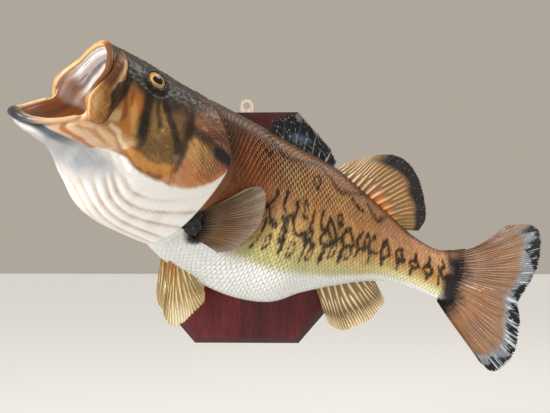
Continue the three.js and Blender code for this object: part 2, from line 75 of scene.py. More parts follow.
# Stations: top x z, widest level x z, bottom x z, half width, swell of the lower half.
HEAD = np.array([
    [-168, 204, -200, 138, -262, 133, 50, 4],
    [-146, 194, -186, 127, -255, 119, 52, 4],
    [-125, 184, -157, 114, -226, 96, 54, 4],
    [-104, 173, -125, 99, -211, 66, 56, 6],
    [-79, 160, -77, 85, -187, 26, 58, 8],
    [-56, 149, -41, 78, -128, -9, 57, 9],
], float)
BODY = np.array([
    [-49, 146, -27, 63, -113, -19, 46, 2],
    [-14, 130, 14, 27, -77, -50, 50, 0],
    [29, 109, 35, 12, -22, -79, 52, 0],
    [68, 88, 68, 1, 28, -88, 50, 0],
    [103, 69, 99, -8, 66, -77, 42, 0],
    [136, 41, 131, -17, 105, -69, 34, 0],
    [166, 14, 162, -28, 143, -64, 25, 0],
    [193, -11, 193, -41, 179, -68, 17, 0],
    [219, -27, 221, -52, 210, -80, 11, 0],
    [238, -28, 238, -57, 229, -88, 8, 0],
], float)
MOUTH_WALL = np.array([[3.3, 0.0], [2.8, 0.36], [2.0, 0.58], [1.1, 0.75], [0.3, 0.85], [0.02, 0.91]])
LIP_TURN = np.array([[0.02, 0.91], [0.0, 0.95], [0.03, 0.985], [0.12, 1.0]])
RIM_ADVANCE = 0.42
FLAP_DEPTH = 0.2
FLAP_INNER = 0.975
SHOULDER = 0.86
EYE = {"station": 2.22, "angle": 34, "radius": 13.0, "proud": 5.2}

SKIN_COLUMNS = 270
MOUTH_ROWS = 62
LIP_ROWS = 9
HEAD_ROWS = 122
FLAP_ROWS = 9
BODY_ROWS = 156
STATION_MM = 36.0
# Length in mm on the skin of one degree round the ring, station by station.
GIRTH = np.array([0.75, 0.8, 0.9, 1.0, 1.1, 1.1, 1.05, 1.0, 0.95, 0.85, 0.7, 0.52, 0.42, 0.36, 0.36])[:, None]
FAIR_ROWS, FAIR_LONG, FAIR_THIN = 14, 15.0, 0.5
COAT_DEPTH = 0.45
NAPE_START = 3.75
# Creases and ridges of the jaw as (station, angle) points.
JAW_CREASE = [[1.19, 134], [1.54, 130], [1.76, 122], [2.04, 116], [2.61, 108]]
JAW_CORNER = [[0.95, 97], [1.5, 104], [1.9, 111], [2.5, 118], [3.2, 121]]
JAW_RIDGE = [[0.35, 112], [0.8, 112], [1.3, 114], [1.8, 118]]
SIDES = ("left", "right")
CACHE = {}


# ---- small maths on whole arrays ----
def mix(a, b, t):
    return a + (b - a) * t


def ramp(x, start, end):
    """0 before start, 1 after end, 3t squared less 2t cubed between."""
    t = np.clip((x - start) / (end - start), 0, 1)
    return t * t * (3 - 2 * t)


def bump(x, start, peak, end):
    return ramp(x, start, peak) * (1 - ramp(x, peak, end))


def arch(x):
    """Half circle over 0..1: the square root of 1 less (2x - 1) squared."""
    return np.sqrt(np.maximum(0, 1 - (2 * x - 1) ** 2))


def unit(v):
    return v / np.maximum(np.linalg.norm(v, axis=-1, keepdims=True), 1e-9)


def wave_noise(p, size, seed):
    """Smooth noise about 0, within 1: six sine waves of random direction and phase, added up."""
    rng = np.random.default_rng(seed)
    total = 0
    for direction, phase in zip(rng.normal(size=(6, p.shape[-1])), rng.uniform(0, 6.3, 6)):
        total = total + np.sin(p @ direction * (2.2 / size) + phase)
    return total / 4


def curve(rows, t):
    """Catmull-Rom curve through the rows, with mirrored ends, at every t."""
    rows = np.asarray(rows, float)
    t = np.asarray(t, float)
    last = len(rows) - 1
    i = np.clip(np.floor(t).astype(int), 0, last - 1)
    f = (t - i)[..., None]
    b, c = rows[i], rows[i + 1]
    a = np.where((i > 0)[..., None], rows[np.maximum(i - 1, 0)], 2 * b - c)
    d = np.where((i < last - 1)[..., None], rows[np.minimum(i + 2, last)], 2 * c - b)
    return 0.5 * (2 * b + (c - a) * f + (2 * a - 5 * b + 4 * c - d) * f**2 + (3 * b - a - 3 * c + d) * f**3)


def bend(p, hinge):
    """Turns all beyond the hinge line sideways, toward -Y, on an arc and then straight on."""
    size = math.hypot(hinge["dx"], hinge["dz"])
    dx, dz = hinge["dx"] / size, hinge["dz"] / size
    x, z = p[..., 0] - hinge["x"], p[..., 2] - hinge["z"]
    along, across = x * dx + z * dz, z * dx - x * dz
    radius = hinge["length"] / math.radians(hinge["angle"])
    turn = np.minimum(along, hinge["length"]) / radius
    rest = np.maximum(along - hinge["length"], 0)
    reach = radius - (MID_Y - p[..., 1])
    forward = reach * np.sin(turn) + rest * np.cos(turn)
    side = radius - reach * np.cos(turn) + rest * np.sin(turn)
    bent = np.stack([hinge["x"] + forward * dx - across * dz, MID_Y - side,
                     hinge["z"] + forward * dz + across * dx], -1)
    return np.where((along > 0)[..., None], bent, p)


def pose(p):
    return bend(bend(p, HEAD_BEND), TAIL_BEND)


# ---- the fish's surface ----
def folded(a):
    """Angle from the back, 0 to 180 on either side."""
    a = np.mod(a, 360)
    return np.minimum(a, 360 - a)


def ring_point(rows, t, a, scale=1.0):
    """The flat fish at station t and angle a (0 back, 90 near side, 180 belly): the widest level, plus
    a softened half ellipse up to the top or down to the bottom, scaled about the ring's centre."""
    t, a, scale = np.broadcast_arrays(np.asarray(t, float), np.asarray(a, float), np.asarray(scale, float))
    if rows is HEAD:
        t = t - RIM_ADVANCE * bump(folded(a), 45, 78, 100) * np.clip(1 - t, 0, 1)
    tx, tz, mx, mz, bx, bz, half, swell = np.moveaxis(curve(rows, t), -1, 0)
    c, s = np.cos(np.radians(a)), np.sin(np.radians(a))
    soft = np.sqrt(c * c + CORNER_SOFTNESS**2)
    full = 1 + math.sqrt(1 + CORNER_SOFTNESS**2)
    up, down = (soft + c) / full, (soft - c) / full
    low_x, low_z = bx - mx, bz - mz
    bulge = np.where(c < 0, 2 * swell * np.abs(c * s), 0) / np.hypot(low_x, low_z)
    x = mx + (tx - mx) * up + low_x * down - low_z * bulge
    z = mz + (tz - mz) * up + low_z * down + low_x * bulge
    side = half * np.sign(s) * np.abs(s) ** np.where(c < 0, LOWER_FULLNESS, 1)
    centre_x = mx + 0.25 * (tx - mx + low_x)
    centre_z = mz + 0.25 * (tz - mz + low_z)
    return np.stack([mix(centre_x, x, scale), MID_Y - side * scale, mix(centre_z, z, scale)], -1)


def on_skin(rows, t, a, height=0.0):
    """A point that stands height off the bent surface, along its outward normal."""
    here = pose(ring_point(rows, t, a))
    onward = pose(ring_point(rows, t + 0.02, a)) - here
    round_ = pose(ring_point(rows, t, a + 1)) - here
    out = unit(-np.cross(onward, round_))
    return here + out * np.asarray(height)[..., None]


def flap_share(a):
    """How much gill flap there is at each angle: none over the nape, less under the throat."""
    fold = folded(a)
    return ramp(fold, 20, 60) * mix(1, 0.45, ramp(fold, 140, 180))


def grid_normals(p):
    """Normals of a grid that closes on itself across its columns: the cross product of differences."""
    along = np.gradient(p, axis=0)
    round_ = np.roll(p, -1, 1) - np.roll(p, 1, 1)
    return unit(-np.cross(along, round_))


# ---- making meshes ----
def quads(rows, columns, wrap=False, closed=False):
    """Corner numbers of the faces of a grid of points. wrap joins its last column to its first, and
    closed its last row to its first."""
    index = np.arange(rows * columns).reshape(rows, columns)
    index = np.pad(index, ((0, int(closed)), (0, int(wrap))), mode="wrap")
    return np.stack([index[:-1, :-1], index[:-1, 1:], index[1:, 1:], index[1:, :-1]], -1).reshape(-1, 4)


def make_object(name, points, faces, material, smooth=True, paint=None, corner_uv=None):
    """A mesh object at the origin from points in mm and a list of face arrays. Its faces are turned
    outward by the sign of the volume."""
    flat = np.concatenate([f.ravel() for f in faces])
    sizes = np.concatenate([np.full(len(f), f.shape[1]) for f in faces])
    thirds = [f[:, [0, 1, 2]] for f in faces] + [f[:, [0, 2, 3]] for f in faces if f.shape[1] == 4]
    a, b, c = np.moveaxis(points[np.concatenate(thirds)], 1, 0)
    if np.einsum("ij,ij->i", a, np.cross(b, c)).sum() < 0:
        faces = [f[:, ::-1] for f in faces]
        flat = np.concatenate([f.ravel() for f in faces])
        if corner_uv is not None:
            corner_uv = [uv[:, ::-1] for uv in corner_uv]
    starts = np.concatenate([[0], np.cumsum(sizes)[:-1]])
    mesh = bpy.data.meshes.new(name)
    mesh.vertices.add(len(points))
    mesh.vertices.foreach_set("co", (points * MM).astype(np.float32).ravel())
    mesh.loops.add(len(flat))
    mesh.loops.foreach_set("vertex_index", flat.astype(np.int32))
    mesh.polygons.add(len(sizes))
    mesh.polygons.foreach_set("loop_start", starts.astype(np.int32))
    mesh.update(calc_edges=True)
    mesh.polygons.foreach_set("use_smooth", np.full(len(sizes), smooth))
    if paint is not None:
        layer = mesh.color_attributes.new("paint", "FLOAT_COLOR", "POINT")
        rgba = np.concatenate([paint, np.ones((len(paint), 1))], 1)
        layer.data.foreach_set("color", rgba.astype(np.float32).ravel())
    if corner_uv is not None:
        uv = mesh.uv_layers.new(name=BAKE_MAP)
        flat_uv = np.concatenate([u.ravel() for u in corner_uv])
        uv.data.foreach_set("uv", flat_uv.astype(np.float32))
    mesh.validate()
    piece = bpy.data.objects.new(name, mesh)
    bpy.context.scene.collection.objects.link(piece)
    mesh.materials.append(material)
    return piece


def place(piece, slot, *nodes):
    """Fixes a piece to the model and hides the nodes that it stands for."""
    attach(piece, "root")
    if nodes:
        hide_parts(*nodes)
    return piece


def add_piece(name, shape, paint, finish, slot, *nodes, uv=None):
    """A painted piece of the model from its points and faces, in place of the nodes named."""
    points, faces = shape
    piece = make_object(name, points, faces, finish_for(finish), True, paint.reshape(-1, 3), uv)
    return place(piece, slot, *nodes)


def slab(outer, inner):
    """Points and faces of a closed slab between two grids of the same size."""
    rows, columns = outer.shape[:2]
    points = np.concatenate([outer.reshape(-1, 3), inner.reshape(-1, 3)])
    top = quads(rows, columns)
    size = rows * columns
    edge = np.concatenate([
        np.arange(columns - 1), np.arange(rows - 1) * columns + columns - 1,
        size - 1 - np.arange(columns - 1), (rows - 1 - np.arange(rows - 1)) * columns])
    after = np.roll(edge, -1)
    rim = np.stack([edge, edge + size, after + size, after], -1)
    return points, [top, (top + size)[:, ::-1], rim]


def ring_sweep(path, radii, across, other, turn, squash):
    """Rings of points round a path, each in the plane of its across and other, squashed along other."""
    return (path[:, None] + across[:, None] * (radii * np.cos(turn))[..., None]
            + other[:, None] * (squash * radii * np.sin(turn))[..., None])


def capped(rings, first, last):
    """Points and faces of a closed surface: a stack of rings, ended by one point each."""
    rows, columns = rings.shape[:2]
    size = rows * columns
    k = np.arange(columns)
    m = (k + 1) % columns
    start = np.stack([m, k, np.full(columns, size)], -1)
    end = np.stack([size - columns + k, size - columns + m, np.full(columns, size + 1)], -1)
    points = np.concatenate([rings.reshape(-1, 3), [first, last]])
    return points, [quads(rows, columns, wrap=True), start, end]


def with_poles(paint):
    """Paint of a capped surface: its end points take the first and the last colour."""
    paint = paint.reshape(-1, 3)
    return np.concatenate([paint, paint[:1], paint[-1:]])


def blended(grid, row, column):
    """Values of a grid between its rows and columns, by straight blending; columns close on themselves."""
    i, j = np.floor(row).astype(int), np.floor(column).astype(int)
    f, g = (row - i)[..., None], (column - j)[..., None]
    near, far = j % grid.shape[1], (j + 1) % grid.shape[1]
    return mix(mix(grid[i, near], grid[i, far], g), mix(grid[i + 1, near], grid[i + 1, far], g), f)


# ---- colour ----
def tone(code):
    """Linear red, green and blue of a hex colour."""
    c = np.array([int(code[i:i + 2], 16) for i in (0, 2, 4)]) / 255
    return np.where(c <= 0.04045, c / 12.92, ((c + 0.055) / 1.055) ** 2.4)


def fill(code, shape):
    """One colour at every point."""
    return np.broadcast_to(tone(code), (*shape, 3))


def coats(under, layers):
    """Coats of colour over another, in turn: each a hex colour, as thick as its mask says."""
    for code, mask in layers:
        under = under + (tone(code) - under) * np.clip(mask, 0, 1)[..., None]
    return under


def line_mask(q, a, points, wide, soft, seed=0, wobble=0.0, parts=6):
    """1 within wide mm of a line drawn through (station, angle) points on the skin, fading over soft mm.
    Stations are about STATION_MM apart and a degree is as long as the local girth makes it."""
    line = curve(points, np.linspace(0, len(points) - 1, parts * (len(points) - 1) + 1))
    reach = (wide + soft + 4) / STATION_MM
    near = (q > line[:, 0].min() - reach) & (q < line[:, 0].max() + reach)
    mask = np.zeros(q.shape)
    q, a = q[near], a[near]
    girth = degree_mm(q)
    best = np.full(q.shape, 1e9)
    shift = wobble * wave_noise(np.stack([q * 9, a / 6], -1), 2.0, seed) if wobble else 0.0
    for start, end in zip(line[:-1], line[1:]):
        dx, dy = (q - start[0]) * STATION_MM, (a - start[1]) * girth
        ex, ey = (end[0] - start[0]) * STATION_MM, (end[1] - start[1]) * girth
        t = np.clip((dx * ex + dy * ey) / np.maximum(ex * ex + ey * ey, 1e-9), 0, 1)
        best = np.minimum(best, np.hypot(dx - t * ex, dy - t * ey))
    mask[near] = 1 - ramp(best + shift, wide, wide + soft)
    return mask


def degree_mm(q):
    """Length on the skin of one degree round the ring, by station."""
    return curve(GIRTH, np.clip(q, 0, 13.9))[..., 0]


# ---- the skin as one grid of points ----
def smooth_rows(p, first, last, times):
    """Averages each row with its neighbours along the fish, to ease the step behind the gill flap."""
    for _ in range(times):
        p[first:last] = 0.5 * p[first:last] + 0.25 * (p[first - 1:last - 1] + p[first + 1:last + 1])
    return p


def side_angle(a, side):
    """The same place on the near (left) or far (right) side."""
    return a if side == "left" else 360 - np.asarray(a)


def eye_distance(p, side):
    """Distance in mm from the middle of one eye."""
    middle = on_skin(HEAD, np.array(EYE["station"]), np.array(side_angle(EYE["angle"], side)), 0.0)
    return np.linalg.norm(p - middle, axis=-1)


# Angles of the throat's creases, one column to a crease, at the stations of CREASE_STATIONS.
CREASE_STATIONS = [2.5, 3.0, 3.5, 4.0, 4.5, 5.0]
CREASES = [
    [112, 121, 127, 137, 150, 168], [119.5, 127.5, 133, 142, 153, 166], [123, 131, 137.5, 146, 155, 166],
    [118.5, 130, 139, 148, 157, 168], [111, 125, 137, 148, 159, 170], [104, 119, 132, 146, 159, 171]]


def fold_lines(q, f):
    """Pleats of the gill membrane under the throat: a count of folds from the jaw down, whose whole
    numbers lie on the creases, and the degrees to the nearest crease."""
    place = np.interp(q, CREASE_STATIONS, np.arange(len(CREASE_STATIONS)))
    creases = curve(CREASES, place) + (1.0 * np.sin(3.1 * q + f / 14))[..., None]
    count = np.clip((f[..., None] - creases[..., :-1]) / np.diff(creases, axis=-1), 0, 1).sum(-1)
    return count, np.abs(f[..., None] - creases).min(-1)


def fold_area(q, f):
    """1 where the membrane is pleated."""
    first = np.interp(q, CREASE_STATIONS, np.array(CREASES)[:, 0])
    along = ramp(q, 2.55, 3.3) * (1 - ramp(q, 4.9, 5.1))
    return along * ramp(f, first - 1, first + 3) * (1 - ramp(f, 164, 172))


def throat_relief(q, f):
    """Rounded pleats with a sharp lower crease, fading out at the jaw and at the flap's rim."""
    count, _ = fold_lines(q, f)
    step = count - np.floor(count)
    return 2.0 * (0.5 - 0.5 * np.cos(2 * np.pi * step**0.75) - 0.45) * fold_area(q, f)


def head_relief(q, a, p):
    """Small forms of the head, in mm off the surface: eye socket, brow, nostrils, jaw lines, pleats."""
    f = folded(a)
    height = throat_relief(q, f)
    for side in SIDES:
        away = eye_distance(p, side)
        height = height + 1.1 * bump(away, 9.6, 12.0, 15.5) - 2.0 * (1 - ramp(away, 8.0, 10.6))
        height = height - 0.6 * bump(away, 14.5, 17.0, 20.0) * ramp(f, 30, 40)
    height = height - 1.6 * line_mask(q, f, [[0.56, 12], [0.62, 11]], 0.6, 1.5)
    height = height + 0.7 * line_mask(q, f, [[0.5, 14], [0.62, 15], [0.7, 11]], 0.6, 1.4)
    height = height - 0.9 * line_mask(q, f, JAW_CREASE, 0.3, 2.2)
    height = height - 1.0 * line_mask(q, f, JAW_CORNER, 0.3, 2.6)
    height = height + 1.4 * line_mask(q, f, JAW_RIDGE, 1.2, 4.0)
    height = height - 0.8 * line_mask(q, f, [[1.3, 180], [4.6, 180]], 0.4, 4.0) * ramp(q, 1.2, 1.8)
    rough = 0.3 * wave_noise(p, 5.0, 3) + 0.25 * wave_noise(p, 2.8, 4)
    wrinkle = 0.45 * (1 - np.abs(wave_noise(p, 7.0, 6))) * (1 - ramp(f, 40, 62))
    height = height + (rough * (1 - ramp(f, 95, 110)) + wrinkle) * ramp(q, 0.3, 0.8)
    smooth = 0.35 * wave_noise(p, 11.0, 7) * ramp(f, 100, 120)
    return height + smooth * (1 - fold_area(q, f)) * ramp(q, 0.3, 1.0)


def mouth_relief(depth, f, p):
    """Lining of the mouth, in mm: folds across the palate, a furrow down its middle, a trough in the
    floor of the jaw, and a ledge behind each lip."""
    palate = 1 - ramp(f, 70, 95)
    folds = np.sin(depth * 34 + 1.2 * wave_noise(p, 16, 5)) * palate * bump(depth, 0.05, 0.35, 0.9)
    furrow = bump(f, -14, 0, 14) * palate * bump(depth, 0.1, 0.4, 0.9)
    trough = bump(f, 118, 180, 242) * bump(depth, 0.03, 0.2, 0.95)
    ledge = bump(depth, 0.0, 0.06, 0.16)
    return 0.9 * folds + 1.2 * furrow - 1.5 * trough + 0.8 * ledge


def skin_grid():
    """The whole outside and the mouth's lining as one grid, rows from the gullet over the lips to the
    tail: points, normals, and for each point its station q, angle a and depth in the mouth (0 outside)."""
    if "skin" in CACHE:
        return CACHE["skin"]
    a = np.arange(SKIN_COLUMNS) * 360 / SKIN_COLUMNS
    share = flap_share(a)
    rows, stations, depths = [], [], []

    def add(points, q, depth=0.0):
        rows.append(points)
        stations.append(np.broadcast_to(q, points.shape[:-1]))
        depths.append(np.full(points.shape[:-1], depth))

    for m in np.linspace(0.03, 1, MOUTH_ROWS):
        t, size = curve(MOUTH_WALL, m * (len(MOUTH_WALL) - 1))
        add(ring_point(HEAD, t, a, size), t, 1 - m)
    for m in np.linspace(0, 1, LIP_ROWS)[1:]:
        t, size = curve(LIP_TURN, m * (len(LIP_TURN) - 1))
        add(ring_point(HEAD, t, a, size), t)
    for t in np.linspace(0.12, 5, HEAD_ROWS)[1:]:
        add(ring_point(HEAD, t, a), t)
    for e in np.linspace(0, 1, FLAP_ROWS):
        t = 5 - FLAP_DEPTH * share * e + (1 - share) * 0.15 * (e + 0.1)
        size = mix(1, mix(FLAP_INNER, SHOULDER, e**0.7), share)
        add(ring_point(HEAD, t, a, size), 5.0)
    flap_end = len(rows)
    shoulder = rows[-1]
    for s in np.linspace(0, 9, BODY_ROWS)[1:]:
        far = ring_point(BODY, s, a)
        blend = ramp(s, -0.35, 0.35)
        add(mix(shoulder, far, blend) if s < 0.35 else far, 5 + s)
    end = rows[-1]
    middle = end.mean(0)
    for e in np.linspace(0, 1, FAIR_ROWS)[1:]:
        thin = mix(1.0, FAIR_THIN, ramp(e, 0, 0.9)) * np.sqrt(1 - 0.9 * ramp(e, 0.85, 1.0))
        size = np.array([1.0, thin, mix(1.0, 1.06, e) * (1 - 0.05 * ramp(e, 0.9, 1))])
        add(middle + (end - middle) * size + [FAIR_LONG * e, 0, 0], 14 + 0.3 * e)
    flat = smooth_rows(np.stack(rows), flap_end + 1, flap_end + 26, 14)
    q, depth = np.stack(stations), np.stack(depths)
    angle = np.broadcast_to(a, q.shape)
    p = pose(flat)
    n = grid_normals(p)
    inside = depth > 0
    lift = np.where(inside, mouth_relief(depth, folded(angle), p), 0)
    lift = np.where(~inside & (q < 5.0), head_relief(q, angle, p), lift)
    lift = lift - COAT_DEPTH * coat_area(q, angle) * ~inside
    p = p + n * lift[..., None]
    p[..., 1] = np.where(~inside & (q > 4.5), np.minimum(p[..., 1], SEAT_Y), p[..., 1])
    CACHE["skin"] = {"p": p, "n": grid_normals(p), "q": q, "a": angle, "depth": depth, "flap_end": flap_end}
    return CACHE["skin"]


def coat_area(q, a):
    """1 where scales lie: all of the trunk, and the nape back from above the gill cover."""
    f = folded(a)
    nape = ramp(q, NAPE_START, NAPE_START + 0.2) * (1 - ramp(f, 24, 30))
    return np.where(q >= 5.0, 1.0, nape)


# ---- markings ----
BACK_LINES = [
    [[6.75, 14], [6.85, 24], [7.0, 33], [7.3, 40], [7.8, 37], [8.2, 33], [8.53, 30], [8.87, 38], [9.3, 49],
     [9.55, 42], [9.87, 33], [10.1, 18]],
    [[10.2, 38], [10.45, 50], [10.6, 55], [10.75, 46], [10.9, 34]]]
BELLY_EDGE = [[131.], [123], [124], [127], [134], [140], [141], [146], [148], [150]]
# Dark strokes of the flank: half width in mm, then their (station, angle) points.
STROKES = [
    (2.4, [[6.5, 88], [6.73, 84], [7.07, 73]]), (1.7, [[6.67, 87], [6.93, 93], [7.3, 96]]),
    (1.7, [[6.75, 94], [6.87, 103], [6.8, 113]]), (0.9, [[7.5, 70], [7.38, 75], [7.36, 81], [7.45, 84]]),
    (2, [[7.87, 76], [7.77, 87], [7.42, 90]]), (1.6, [[7.77, 88], [7.87, 96], [8.07, 98], [8.27, 96]]),
    (1.8, [[7.5, 90], [7.66, 101], [7.73, 112]]),
    (2, [[8.45, 78], [8.35, 90], [8.22, 97], [8.38, 104], [8.37, 118]]),
    (1.4, [[8.22, 97], [8.5, 101], [8.72, 106]]), (1.5, [[8.75, 76], [8.68, 85], [8.85, 91]]),
    (2.3, [[9, 80], [8.9, 90], [8.8, 97], [9, 103], [9.27, 97], [9.17, 87], [9, 80]]),
    (2, [[9, 102], [9.05, 110], [9.07, 119]]), (1.2, [[8.85, 90], [9.1, 93], [9.1, 99]]),
    (1.9, [[9.63, 80], [9.5, 92], [9.63, 100], [9.9, 97], [9.78, 88], [9.63, 80]]),
    (1.7, [[9.6, 100], [9.67, 118]]), (1.8, [[10.13, 80], [10, 90], [10.1, 100], [10.28, 98], [10.17, 88]]),
    (1.2, [[10.1, 100], [10.15, 111]]), (1.8, [[10.57, 78], [10.4, 92], [10.53, 100], [10.75, 99]]),
    (1.6, [[10.5, 99], [10.63, 117]]),
    (1.9, [[11.03, 76], [10.88, 90], [11.02, 106], [11.2, 97], [11.08, 86], [11.03, 76]]),
    (1.3, [[11, 104], [11.07, 117]]),
    (1.8, [[11.63, 75], [11.4, 87], [11.6, 100], [11.8, 100], [11.62, 86]]),
    (1.4, [[11.58, 99], [11.63, 118]]),
    (1.6, [[12.13, 73], [12.13, 87], [11.93, 95], [12.13, 103], [12.33, 100], [12.13, 87]]),
    (1.2, [[12.1, 102], [12.13, 120]]),
    (1.8, [[12.7, 63], [12.67, 83], [12.5, 97], [12.7, 107], [12.87, 97], [12.7, 84]]),
    (1, [[12.68, 105], [12.7, 116]]), (2.4, [[13.1, 80], [13.2, 90], [13.47, 100], [13.87, 95]]),
    (2, [[13.35, 62], [13.5, 74], [13.3, 84]]), (1.6, [[13.2, 104], [13.3, 116]]),
    (1, [[9.7, 48], [9.85, 53], [10.05, 54]]), (0.8, [[6.55, 42], [6.7, 47], [6.82, 42]]),
]
# Small rings beside them: station, angle, half length round the fish and half width in mm.
RINGS = [(7.23, 107, 5, 3), (8.13, 79, 6, 3), (8.0, 109, 5, 3), (8.65, 111, 5, 3), (9.33, 78, 4.5, 2.5),
         (9.33, 107, 6, 3), (9.87, 109, 4.5, 3), (8.5, 51, 6, 4), (8.42, 98, 5, 2.6), (7.6, 97, 7, 2.6),
         (9.36, 89, 7, 2.4), (10.32, 90, 6, 2.2)]


def stroke_mask(q, f, wander):
    """The flank's dark strokes and rings, uneven by the wander, which is in mm."""
    mask = np.zeros(q.shape)
    shift_q, shift_f = q + wander / STATION_MM, f + 0.8 * wander
    for wide, points in STROKES:
        seed = int(99 * points[0][0])
        mask = np.maximum(mask, line_mask(shift_q, shift_f, points, wide * 0.4, 3.0, seed, 0.9, 3))
    for at_q, at_f, long, wide in RINGS:
        dx, dy = (shift_q - at_q) * STATION_MM, (shift_f - at_f) * degree_mm(np.full(1, at_q))
        off = (np.hypot(dx / wide, dy / long) - 1) * wide
        mask = np.maximum(mask, 0.9 * (1 - ramp(np.abs(off), 0.3, 2.2)))
    return mask


def body_paint(q, a, p):
    """Trunk and tail: dark back, copper shoulder with painted shadow just behind the gill flap, golden flank,
    yellow-green above the white belly.
    """
    f = folded(a)
    drift, cloud, fine = wave_noise(p, 26, 11), wave_noise(p, 13, 12), wave_noise(p, 4, 15)
    edge = curve(BELLY_EDGE, np.clip(q - 5, 0, 9))[..., 0] + 2 * drift + 1.5 * fine
    wander = 1.4 * wave_noise(p, 6, 13) + 0.9 * wave_noise(p, 3, 14)
    stroke = stroke_mask(q, f, wander)
    tail = ramp(q + 0.12 * cloud + 0.07 * fine, 13.3, 13.95)
    return coats(fill("b08653", q.shape), [
        ("cfa366", ramp(cloud, -0.4, 0.9) * bump(f, 40, 66, 100) * 0.7),
        ("b58b6c", ramp(q, 10.0, 11.3) * (1 - ramp(f, 78, 100)) * 0.8),
        ("a66834", (1 - ramp(q, 6.2, 7.8)) * (1 - ramp(f, 92, 116))),
        # darker copper behind the gill flap: partly the shoulder's colour, partly painted shadow of the flap
        ("94542a", (1 - ramp(q, 5.2, 6.3)) * (1 - ramp(f, 112, 124))),
        ("4c2f1d", (1 - ramp(q + f / 90 + 0.12 * cloud, 5.75, 6.5)) * ramp(f, 18, 40) * 0.85),
        ("c3b27a", ramp(f, edge - 46, edge - 18) * ramp(q, 6.0, 7.0) * 0.85),
        ("b7b886", bump(f, edge - 20, edge - 6, edge + 4) * (0.85 - 0.4 * ramp(q, 9.3, 11))),
        ("ddd6ac", bump(f, edge - 26, edge - 10, edge + 4) * ramp(q, 10.5, 12) * 0.8),
        ("e3e6e4", ramp(f, edge - 6, edge + 5)),
        ("93603a", (1 - ramp(f, 30, 46 + 5 * drift)) * 0.8),
        ("57402b", (1 - ramp(f, 16, 34 + 6 * drift)) * 0.85),
        ("3b3024", (1 - ramp(f, 4, 18)) * 0.8),
        ("4d3728", (1 - ramp(q + 0.2 * cloud, 5.3, 6.8)) * (1 - ramp(f + 6 * drift, 38, 62)) * 0.75),
        *(("2a2018", line_mask(q, f + 0.8 * wander, points, 0.6, 3.2) * (0.75 + 0.25 * cloud))
          for points in BACK_LINES),
        ("5a3f24", stroke * 0.5),
        ("1d1510", ramp(stroke + 0.12 * fine, 0.5, 0.92) * 0.93),
        ("3a2a1e", ramp(fine + 0.6 * cloud, 0.5, 1.1) * ramp(q, 12.9, 13.4) * (1 - ramp(f, 110, 125))
         * 0.7),
        ("171618", line_mask(q, f, [[4.9, 128], [5.2, 121], [5.35, 129]], 5, 5, 22, 2.0)),
        ("141315", tail * (0.6 + 0.4 * ramp(f, 25, 65)) * (1 - 0.3 * ramp(f, 168, 178))),
    ])


# Lower edge of the head's brown, by half stations.
THROAT_TOP = [[136.], [131], [125], [121], [112], [108], [109.5], [108.5], [107.5], [101], [88]]
# Painted lines of the head: colour, strength, half width and fade in mm, then (station, angle) points.
HEAD_LINES = [
    ("c98a42", 0.9, 3.5, 4, [[2.1, 99], [2.6, 103], [3.1, 104], [3.5, 100]]),
    ("7b4a22", 0.7, 0.5, 1.6, [[1.95, 103], [2.5, 107], [3.0, 109], [3.5, 106]]),
    ("6b431f", 0.7, 0.4, 1.6, [[2.2, 97], [2.6, 96], [3.0, 93], [3.32, 86]]),
    ("e3c690", 0.6, 1.4, 5, [[1.0, 81], [1.18, 79]]),
    ("dfa762", 0.7, 1.0, 5, [[1.5, 66], [1.7, 74], [1.9, 84]]),
    ("7c431c", 0.75, 1.0, 3, [[0.92, 57], [1.2, 66], [1.38, 77]]),
    ("8a4c20", 0.7, 0.8, 3, [[1.3, 56], [1.45, 66]]),
    ("1a1410", 0.92, 2.6, 10, [[1.95, 48], [2.03, 64], [2.08, 80]]),
    ("1c1713", 0.85, 1.0, 7, [[2.05, 70], [2.15, 84], [2.28, 92]]),
    ("1c1713", 0.75, 0.6, 5, [[2.38, 50], [2.45, 62], [2.62, 72]]),
    ("1e1712", 0.88, 1.7, 5, [[2.5, 44], [2.8, 57], [3.0, 67], [3.22, 77], [3.36, 84]]),
    ("3a2416", 0.8, 0.6, 3.4, [[3.44, 44], [3.5, 58], [3.46, 72], [3.48, 88], [3.62, 99]]),
    ("4a3524", 0.6, 1.2, 4, [[3.5, 42], [3.9, 49], [4.4, 54], [5.0, 60]]),
    # painted shade: a dark crease at the gill cover's front edge, where it passes under the cheek
    ("2a1d13", 0.85, 1.6, 3.6, [[3.62, 33], [3.68, 44], [3.6, 58], [3.54, 70]]),
    ("241f1d", 0.75, 1.4, 7, [[3.6, 62], [4.05, 70], [4.5, 78], [5.0, 84]]),
    ("12171d", 0.95, 2.6, 7, [[4.4, 77], [4.65, 80], [5.05, 85]]),
]
# The same for the lines over the throat and the lower jaw, with a painted shadow behind the upper jaw blade
# and a painted highlight streak.
JAW_LINES = [
    # painted shadow: a black band behind the upper jaw blade, where it meets the cheek
    ("17100c", 0.92, 2.8, 6, [[1.0, 30], [1.02, 44], [1.0, 58], [0.86, 70]]),
    ("a8612a", 0.8, 1.2, 2.6, [[0.15, 117], [0.6, 121], [1.1, 118], [1.7, 120]]),
    ("b5723a", 0.7, 1.0, 3, [[0.25, 97], [0.8, 90], [1.15, 87]]),
    ("c47f45", 0.6, 0.8, 2.4, [[0.5, 108], [0.95, 103], [1.4, 105], [1.9, 109]]),
    # painted highlight: a pale streak along the jaw
    ("f3dfb8", 0.7, 0.7, 2.2, [[1.15, 88], [1.5, 91], [1.8, 97], [2.15, 102]]),
    ("b06a38", 0.6, 0.4, 1.4, [[1.2, 92], [1.55, 95], [1.85, 101], [2.1, 105]]),
    ("c9966a", 0.55, 0.3, 1.3, [[3.7, 99], [3.95, 105], [4.4, 104], [4.9, 93]]),
]


def painted_lines(q, f, rows, seed, wobble):
    """Coats for painted lines, one to a row of the tables above."""
    return [(code, line_mask(q, f, points, wide, soft, seed, wobble) * strength)
            for code, strength, wide, soft, points in rows]


